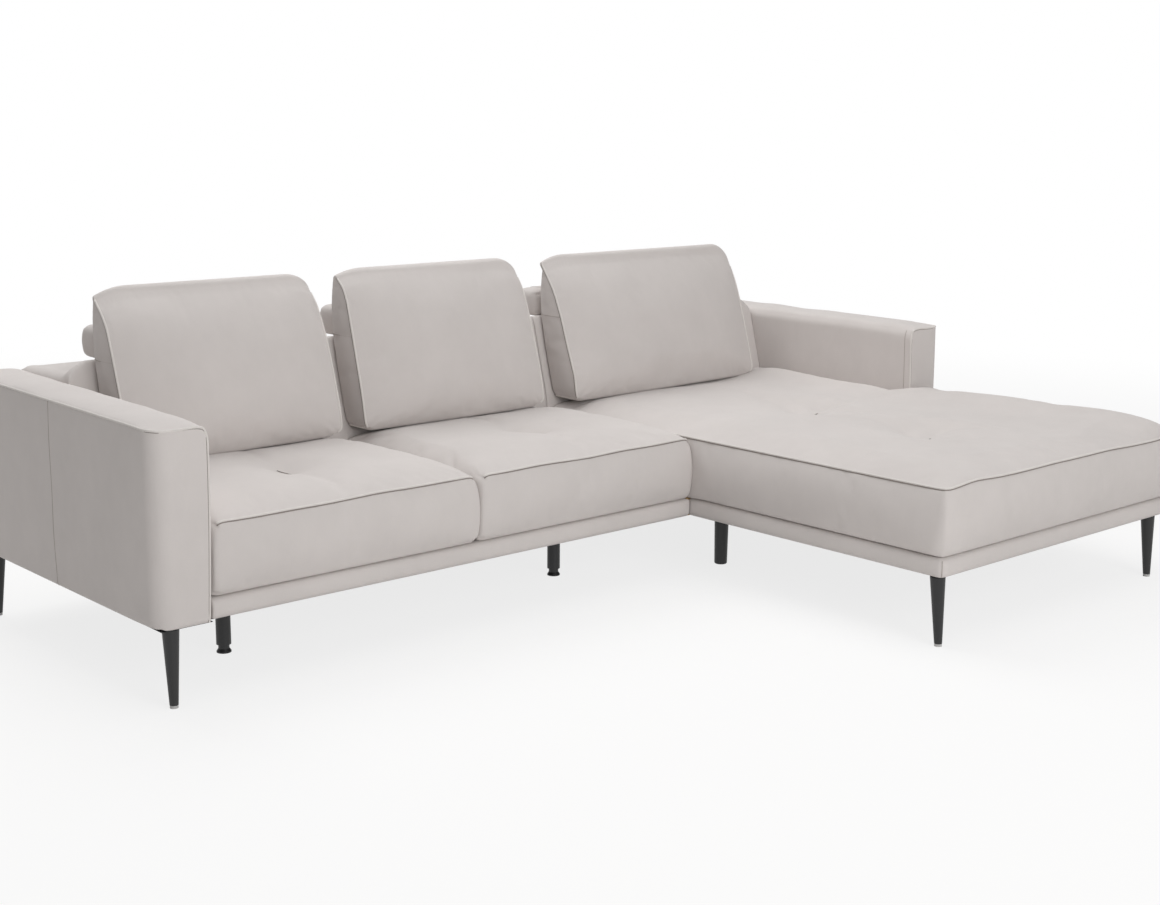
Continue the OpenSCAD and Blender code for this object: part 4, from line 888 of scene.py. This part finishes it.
class SOFA_OT_headrests(bpy.types.Operator):
    """Makes the three padded headrest bars with their end seams"""

    bl_idname = "sofa.headrests"
    bl_label = "Headrests"

    def execute(self, context):
        sizes = context.scene.sofa_sizes
        made = []
        for side in ("left", "middle", "chaise"):
            low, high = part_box(f"{side}_headrest")
            # The padding hangs a little lower, and the middle bar reaches further left
            low.z -= 0.0056
            low.x -= 0.008 * (side == "middle")
            # It starts slimmer, so that it has room to swell
            half = (high - low) / 2 - Vector((0.002, 0.002, 0))
            centre = (high + low) / 2

            def shape(g):
                return centre + soft_box(g, half, HEADREST_EDGES)

            piece, grid = shaped_piece(f"headrest_{side}", 2 * half, CELL["headrest"], shape)
            made.append((side, piece, grid, half))
        swell([(piece, [1.0 if on(g, "-z") and abs(g.y) < 0.6 else 0.0 for g in grid])
               for side, piece, grid, half in made], sizes.pressure, HEADREST_SWELL)
        for side, piece, grid, half in made:
            body = f"{side}_headrest_bar"
            for end, name in ((-1, "left"), (1, "right")):
                place = end * (1 - HEADREST_SEAM / half.x)
                level = min((abs(g.x - place), g.x) for g in grid)[1]
                ring = [(math.atan2(g.y * half.y, g.z * half.z), i) for i, g in enumerate(grid)
                        if abs(g.x - level) < 1e-6]
                points = [piece.data.vertices[i].co.copy() for _, i in sorted(ring)]
                drawn_seam(f"headrest_{side}_seam_{name}", points + points[:1], sizes, body)
            dress(piece, [f"{side}_headrest"], body=body)
        return {"FINISHED"}


# Arms

# Radius of the left arm's outer front corner
ARM_OUTER_R = 0.045


class SOFA_OT_arms(bpy.types.Operator):
    """Makes the two padded arms with their welts and seams"""

    bl_idname = "sofa.arms"
    bl_label = "Arms"

    def execute(self, context):
        sizes = context.scene.sofa_sizes
        for side in ("left", "right"):
            mirror = 1 if side == "left" else -1
            half = (ARM_HIGH - ARM_LOW) / 2
            centre = (ARM_HIGH + ARM_LOW) / 2
            centre.x *= mirror
            # The right arm's outer corner is fuller, and its top stands a little higher
            outer_r, fuller = (ARM_OUTER_R, 0) if side == "left" else (0.02, 0.006)

            def shape(g):
                co = soft_box(g, half, {
                    "-x-y": outer_r, "+x-y": 0.009, "-x+y": 0.02, "+x+y": 0.006,
                    "-x+z": 0.006, "+x+z": 0.024 + 0.01 * max(-g.y, 0) ** 8, "-y+z": 0.006,
                    "+y+z": 0.02, "-x-z": 0.012, "-y-z": 0.012, "+y-z": 0.012})
                t = (g.z + 1) / 2
                along = (g.y + 1) / 2
                top = max(g.z, 0) ** 12
                co.z += top * (0.01 * rise(g.x, 2.5) * rise(g.y, 12) - 0.003 + 0.007 * along
                               - 0.004 * math.exp(-(along / 0.05) ** 2)
                               * rise(g.x + 0.55, 2))
                co.z += top * fuller * (1 - along)
                co.z += 0.009 * (1 - t) ** 6 * max(-g.x, 0) ** 6 * max(-g.y, 0) ** 12
                co.x -= 0.011 * (1 - t) ** 1.5 * max(g.x, 0) * max(-g.y, 0) ** 6
                co.x -= 0.004 * max(-g.x, 0) ** 8 * rise(g.y, 4) * swelling(t)
                co.y -= 0.003 * max(-g.y, 0) ** 8 * swelling(t)
                uneven = ripple(co, 0.16, 0.003, 2.9 if side == "left" else 8.1)
                if abs(g.x) > 0.9:
                    co.x += uneven * swelling(t) * rise(g.y, 8)
                co.z += top * ripple(co, 0.12, 0.004, 4.4) * rise(g.x, 6)
                co.x *= mirror
                return co + centre

            piece, grid = shaped_piece(f"arm_{side}", 2 * half, CELL["arm"], shape,
                                       mirrored=mirror < 0)
            path = rim(piece, grid, ("-x+z", "-y"), ("-y+z", "+x"), ("+x-y", "-z"))
            piped(f"arm_{side}_welt", smoothed(path, 4), sizes,
                  lambda p: (0, -0.0005, -0.0033) if p.z > 0.6 else (-0.003 * mirror, -0.001, 0),
                  share=0.7)
            for name, face, place in (("outer", "-x", 0.03), ("inner", "+x", -0.955)):
                seam = seam_points(piece, grid, face, "+z", near=("y", place))
                drawn_seam(f"arm_{side}_{name}_seam", seam, sizes)
            dress(piece, [f"{side}_arm_upholstery"])
        return {"FINISHED"}


# Fixed back

# The padding's front edge stands up; its top thins towards the rear, which is at 0
BACK_LIP = 0.026
BACK_TOP = ((0, -0.006), (0.6, -0.001), (0.82, 0.003), (0.87, 0.022), (0.92, 0.033),
            (1, 0.035))


class SOFA_OT_fixed_back(bpy.types.Operator):
    """Makes the two halves of the low fixed back behind the cushions"""

    bl_idname = "sofa.fixed_back"
    bl_label = "Fixed back"

    def execute(self, context):
        for side, low, high in (("seater", BACK_LOW, BACK_HIGH),
                                ("chaise", CHAISE_BACK_LOW, CHAISE_BACK_HIGH)):
            base = Vector((low.x, low.y, RAIL_TOP))
            half = (high - Vector((0, 0, BACK_LIP)) - base) / 2
            centre = base + half
            joint, outer = ("+x", "-x") if side == "seater" else ("-x", "+x")

            def shape(g):
                co = soft_box(g, half, {"-y+z": 0.015, "+y+z": 0.022, joint + "+z": 0.002,
                                        outer + "+z": 0.03})
                co += centre
                ahead = (high.y - co.y) / (high.y - low.y)
                inwards = min(co.x - low.x, high.x - co.x) if g.x * centre.x > 0 else 1
                lip = between(BACK_TOP, ahead) * min(0.2 + inwards / 0.07, 1)
                co.z += max(g.z, 0) ** 4 * lip
                co.y += ahead * BACK_LEAN * max(co.z - SEAT_TOP, 0)
                if g.y > 0.97 and g.z < -0.5:
                    co.z -= (RAIL_TOP - BODY_Z) * ((-g.z - 0.5) / 0.5)
                return co

            piece, _ = shaped_piece(f"fixed_back_{side}", 2 * half, CELL["fixed_back"],
                                    shape)
            dress(piece, [f"{side}_back_upholstery"])
        return {"FINISHED"}


# Base rails


class SOFA_OT_base_rails(bpy.types.Operator):
    """Makes the padded base rails: one under the seats, one round the chaise"""

    bl_idname = "sofa.base_rails"
    bl_label = "Base rails"

    def execute(self, context):
        sizes = context.scene.sofa_sizes
        half = (RAIL_HIGH - RAIL_LOW) / 2
        centre = (RAIL_HIGH + RAIL_LOW) / 2

        def straight(g):
            # The right end is squarer, so that it closes the corner to the chaise
            co = soft_box(g, half, {"-y+z": 0.019 - 0.015 * max(g.x, 0) ** 60,
                                    "-y-z": 0.017})
            co.y += ripple((co.x, 0, 0), 0.2, 0.0015, 6.1) * max(-g.y, 0)
            return co + centre

        step = CELL["base_rail"]
        piece, _ = shaped_piece("base_rail_seater", 2 * half, step, straight, crowd=0)
        dress(piece, ["seater_base_rail"])

        # Round the chaise: x is the way along three stretches, with mitred corners
        left, right = FRONT_RAIL_LOW.x, X_CHAISE_RIGHT
        corners = [Vector((left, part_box("chaise_left_base_rail")[1].y)),
                   Vector((left, Y_CHAISE)), Vector((right, Y_CHAISE)),
                   Vector((right, Y_ARM))]
        inwards = [Vector((1, 0)), Vector((0, 1)), Vector((-1, 0))]
        bend = 0.018

        def round_chaise(g):
            co = soft_box(g, half, {"-y+z": 0.019, "-y-z": 0.017})
            depth_in = co.y + half.y
            way = (g.x + 1) / 2 * 3
            i = min(int(way), 2)
            ends = [corners[k] + depth_in * inwards[i] for k in (i, i + 1)]
            if i > 0:
                ends[0] += depth_in * inwards[i - 1]
            if i < 2:
                ends[1] += depth_in * inwards[i + 1]
            place = ends[0].lerp(ends[1], way - i)
            for sign, x in ((1, left + bend), (-1, right - bend)):
                dx, dy = (x - place.x) * sign, Y_CHAISE + bend - place.y
                if dx > 0 and dy > 0:
                    dx, dy = turned_in(dx, dy)
                    place = Vector((x - sign * dx, Y_CHAISE + bend - dy))
            return Vector((place.x, place.y, centre.z + co.z))

        # 80 grid steps in each stretch, so that a grid line falls on both mitres
        piece, grid = shaped_piece("base_rail_chaise", (240 * step, 2 * half.y, 2 * half.z),
                                   step, round_chaise, crowd=0)
        corner = seam_points(piece, grid, "-y", "+z", near=("x", -1 / 3))
        dress(piece, [f"chaise_{side}_base_rail" for side in ("left", "front", "right")])
        drawn_seam("base_rail_corner_seam", corner, sizes)
        return {"FINISHED"}


# Finishes of the frame's own parts

SLOT_FINISH = {"timber": "planed_spruce", "spring_steel": "drawn_spring_wire",
               "black_steel": "black_powder_coat", "zinc_steel": "bright_zinc_plate",
               "grey_plastic": "grey_polyamide", "underside_cloth": "black_bottom_cloth",
               "cushion_fabric": "greige_velour", "body_fabric": "greige_velour"}


class SOFA_OT_frame_finishes(bpy.types.Operator):
    """Gives the legs, fittings, springs, timber and bottom cloth their finishes"""

    bl_idname = "sofa.frame_finishes"
    bl_label = "Frame finishes"

    def execute(self, context):
        for part in frame["record"]["subparts"]:
            node = frame["nodes"][part["node"]]
            for slot in node.material_slots:
                slot.material = finish(SLOT_FINISH[part["material_slot"]])
        return {"FINISHED"}


# Stage

CAMERA_PLACE = (-3.0277, -3.2497, 1.3014)
CAMERA_YAW, CAMERA_PITCH, CAMERA_ROLL = 0.7329, 0.2022, 0.0073
CAMERA_LENS, CAMERA_SENSOR = 52.55, 36.0
WORLD_STRENGTH = 0.35
# Name, place, aim, diameter in metres and power in watts
LAMPS = (
    ("rear", (0.0, 2.6, 4.3), (0.1, -0.6, 0.4), 3.8, 125),
    ("front", (-1.0, -5.5, 2.4), (0.0, 0.0, 0.3), 3.5, 113),
    ("top", (0.2, -1.2, 4.6), (0.2, -0.6, 0.0), 4.0, 36),
)
FLOOR_RADIUS = 9.0
# Distances between which the floor turns into the white surroundings
FLOOR_FADE = (2.4, 5.5)
# Share of plain white in the floor that the camera sees, near and far away. The rest
# takes the light and the shadow
FLOOR_CLEAR = (0.8, 1.0)


def seen_directly(add):
    """1 where the camera or a gloss shows a surface, and 0 where it gives light."""
    path = add("LightPath").outputs
    return add("Math", {0: path["Is Camera Ray"], 1: path["Is Glossy Ray"]},
               operation="MAXIMUM")


class SOFA_OT_stage(bpy.types.Operator):
    """Sets up the pale floor, the soft lamps, the world and the camera"""

    bl_idname = "sofa.stage"
    bl_label = "Studio stage"

    def execute(self, context):
        scene = context.scene
        colours = scene.sofa_colours
        scene.view_settings.view_transform = "Standard"

        world = bpy.data.worlds.new("studio")
        world.use_nodes = True
        world.node_tree.nodes.clear()
        add = partial(add_node, world.node_tree)
        soft = add("Background", {"Color": (1, 0.995, 0.99, 1), "Strength": WORLD_STRENGTH})
        white = add("Background", {"Color": (1, 1, 1, 1), "Strength": 1.0})
        both = add("MixShader", {0: seen_directly(add), 1: soft, 2: white})
        add("OutputWorld", {"Surface": both})
        scene.world = world

        bm = bmesh.new()
        bmesh.ops.create_circle(bm, cap_ends=True, segments=96, radius=FLOOR_RADIUS)
        material, add, place = new_material("pale_studio_floor")
        far = add("VectorMath", {0: place}, operation="LENGTH")
        fade = add("MapRange", {"Value": far.outputs["Value"], "From Min": FLOOR_FADE[0],
                                "From Max": FLOOR_FADE[1]}, interpolation_type="SMOOTHSTEP")
        lit = add("BsdfDiffuse", {"Color": linear(colours.floor)})
        glow = add("Emission", {"Color": (1, 1, 1, 1), "Strength": 1.0})
        near, away = FLOOR_CLEAR
        clear = add("Math", {0: fade, 1: away - near, 2: near}, operation="MULTIPLY_ADD")
        share = add("Math", {0: clear, 1: seen_directly(add)}, operation="MULTIPLY")
        both = add("MixShader", {0: share, 1: lit, 2: glow})
        add("OutputMaterial", {"Surface": both})
        floor = mesh_piece("studio_floor", bm, material)

        for name, place, aim, size, power in LAMPS:
            lamp = bpy.data.lights.new(name, "AREA")
            lamp.shape = "DISK"
            lamp.size = size
            lamp.energy = power
            holder = new_object(name, lamp)
            holder.location = place
            ahead = Vector(aim) - Vector(place)
            holder.rotation_euler = ahead.to_track_quat("-Z", "Y").to_euler()

        ahead = Vector((math.sin(CAMERA_YAW) * math.cos(CAMERA_PITCH),
                        math.cos(CAMERA_YAW) * math.cos(CAMERA_PITCH),
                        -math.sin(CAMERA_PITCH)))
        level = Vector((math.cos(CAMERA_YAW), -math.sin(CAMERA_YAW), 0))
        upward = level.cross(ahead)
        right = level * math.cos(CAMERA_ROLL) + upward * math.sin(CAMERA_ROLL)
        upward = right.cross(ahead)
        camera_data = bpy.data.cameras.new("camera")
        camera_data.lens = CAMERA_LENS
        camera_data.sensor_width = CAMERA_SENSOR
        camera_data.sensor_fit = "HORIZONTAL"
        camera = new_object("camera", camera_data)
        axes = Matrix((right, upward, -ahead)).transposed().to_4x4()
        camera.matrix_world = Matrix.Translation(CAMERA_PLACE) @ axes
        scene.camera = camera
        return {"FINISHED"}


class SOFA_PT_panel(bpy.types.Panel):
    """Lists the sofa's sizes, colours and steps"""

    bl_idname = "SOFA_PT_panel"
    bl_label = "Corner sofa"
    bl_space_type = "VIEW_3D"
    bl_region_type = "UI"
    bl_category = "Sofa"

    def draw(self, context):
        for group in (context.scene.sofa_sizes, context.scene.sofa_colours):
            for name in group.__annotations__:
                self.layout.prop(group, name)
        for step in STEPS:
            self.layout.operator(step.bl_idname)


STEPS = (SOFA_OT_stage, SOFA_OT_frame_finishes, SOFA_OT_base_rails, SOFA_OT_fixed_back,
         SOFA_OT_arms, SOFA_OT_seats, SOFA_OT_chaise, SOFA_OT_back_cushions,
         SOFA_OT_headrests)
CLASSES = (SofaSizes, SofaColours) + STEPS + (SOFA_PT_panel,)


def register():
    """Registers the classes and the scene's settings."""
    for item in CLASSES:
        bpy.utils.register_class(item)
    bpy.types.Scene.sofa_sizes = PointerProperty(type=SofaSizes)
    bpy.types.Scene.sofa_colours = PointerProperty(type=SofaColours)


def unregister():
    """Takes the classes and the scene's settings away again."""
    del bpy.types.Scene.sofa_colours
    del bpy.types.Scene.sofa_sizes
    for item in reversed(CLASSES):
        bpy.utils.unregister_class(item)


def main():
    """Builds the whole sofa."""
    register()
    for step in STEPS:
        group, name = step.bl_idname.split(".")
        getattr(getattr(bpy.ops, group), name)()


if __name__ == "__main__":
    main()
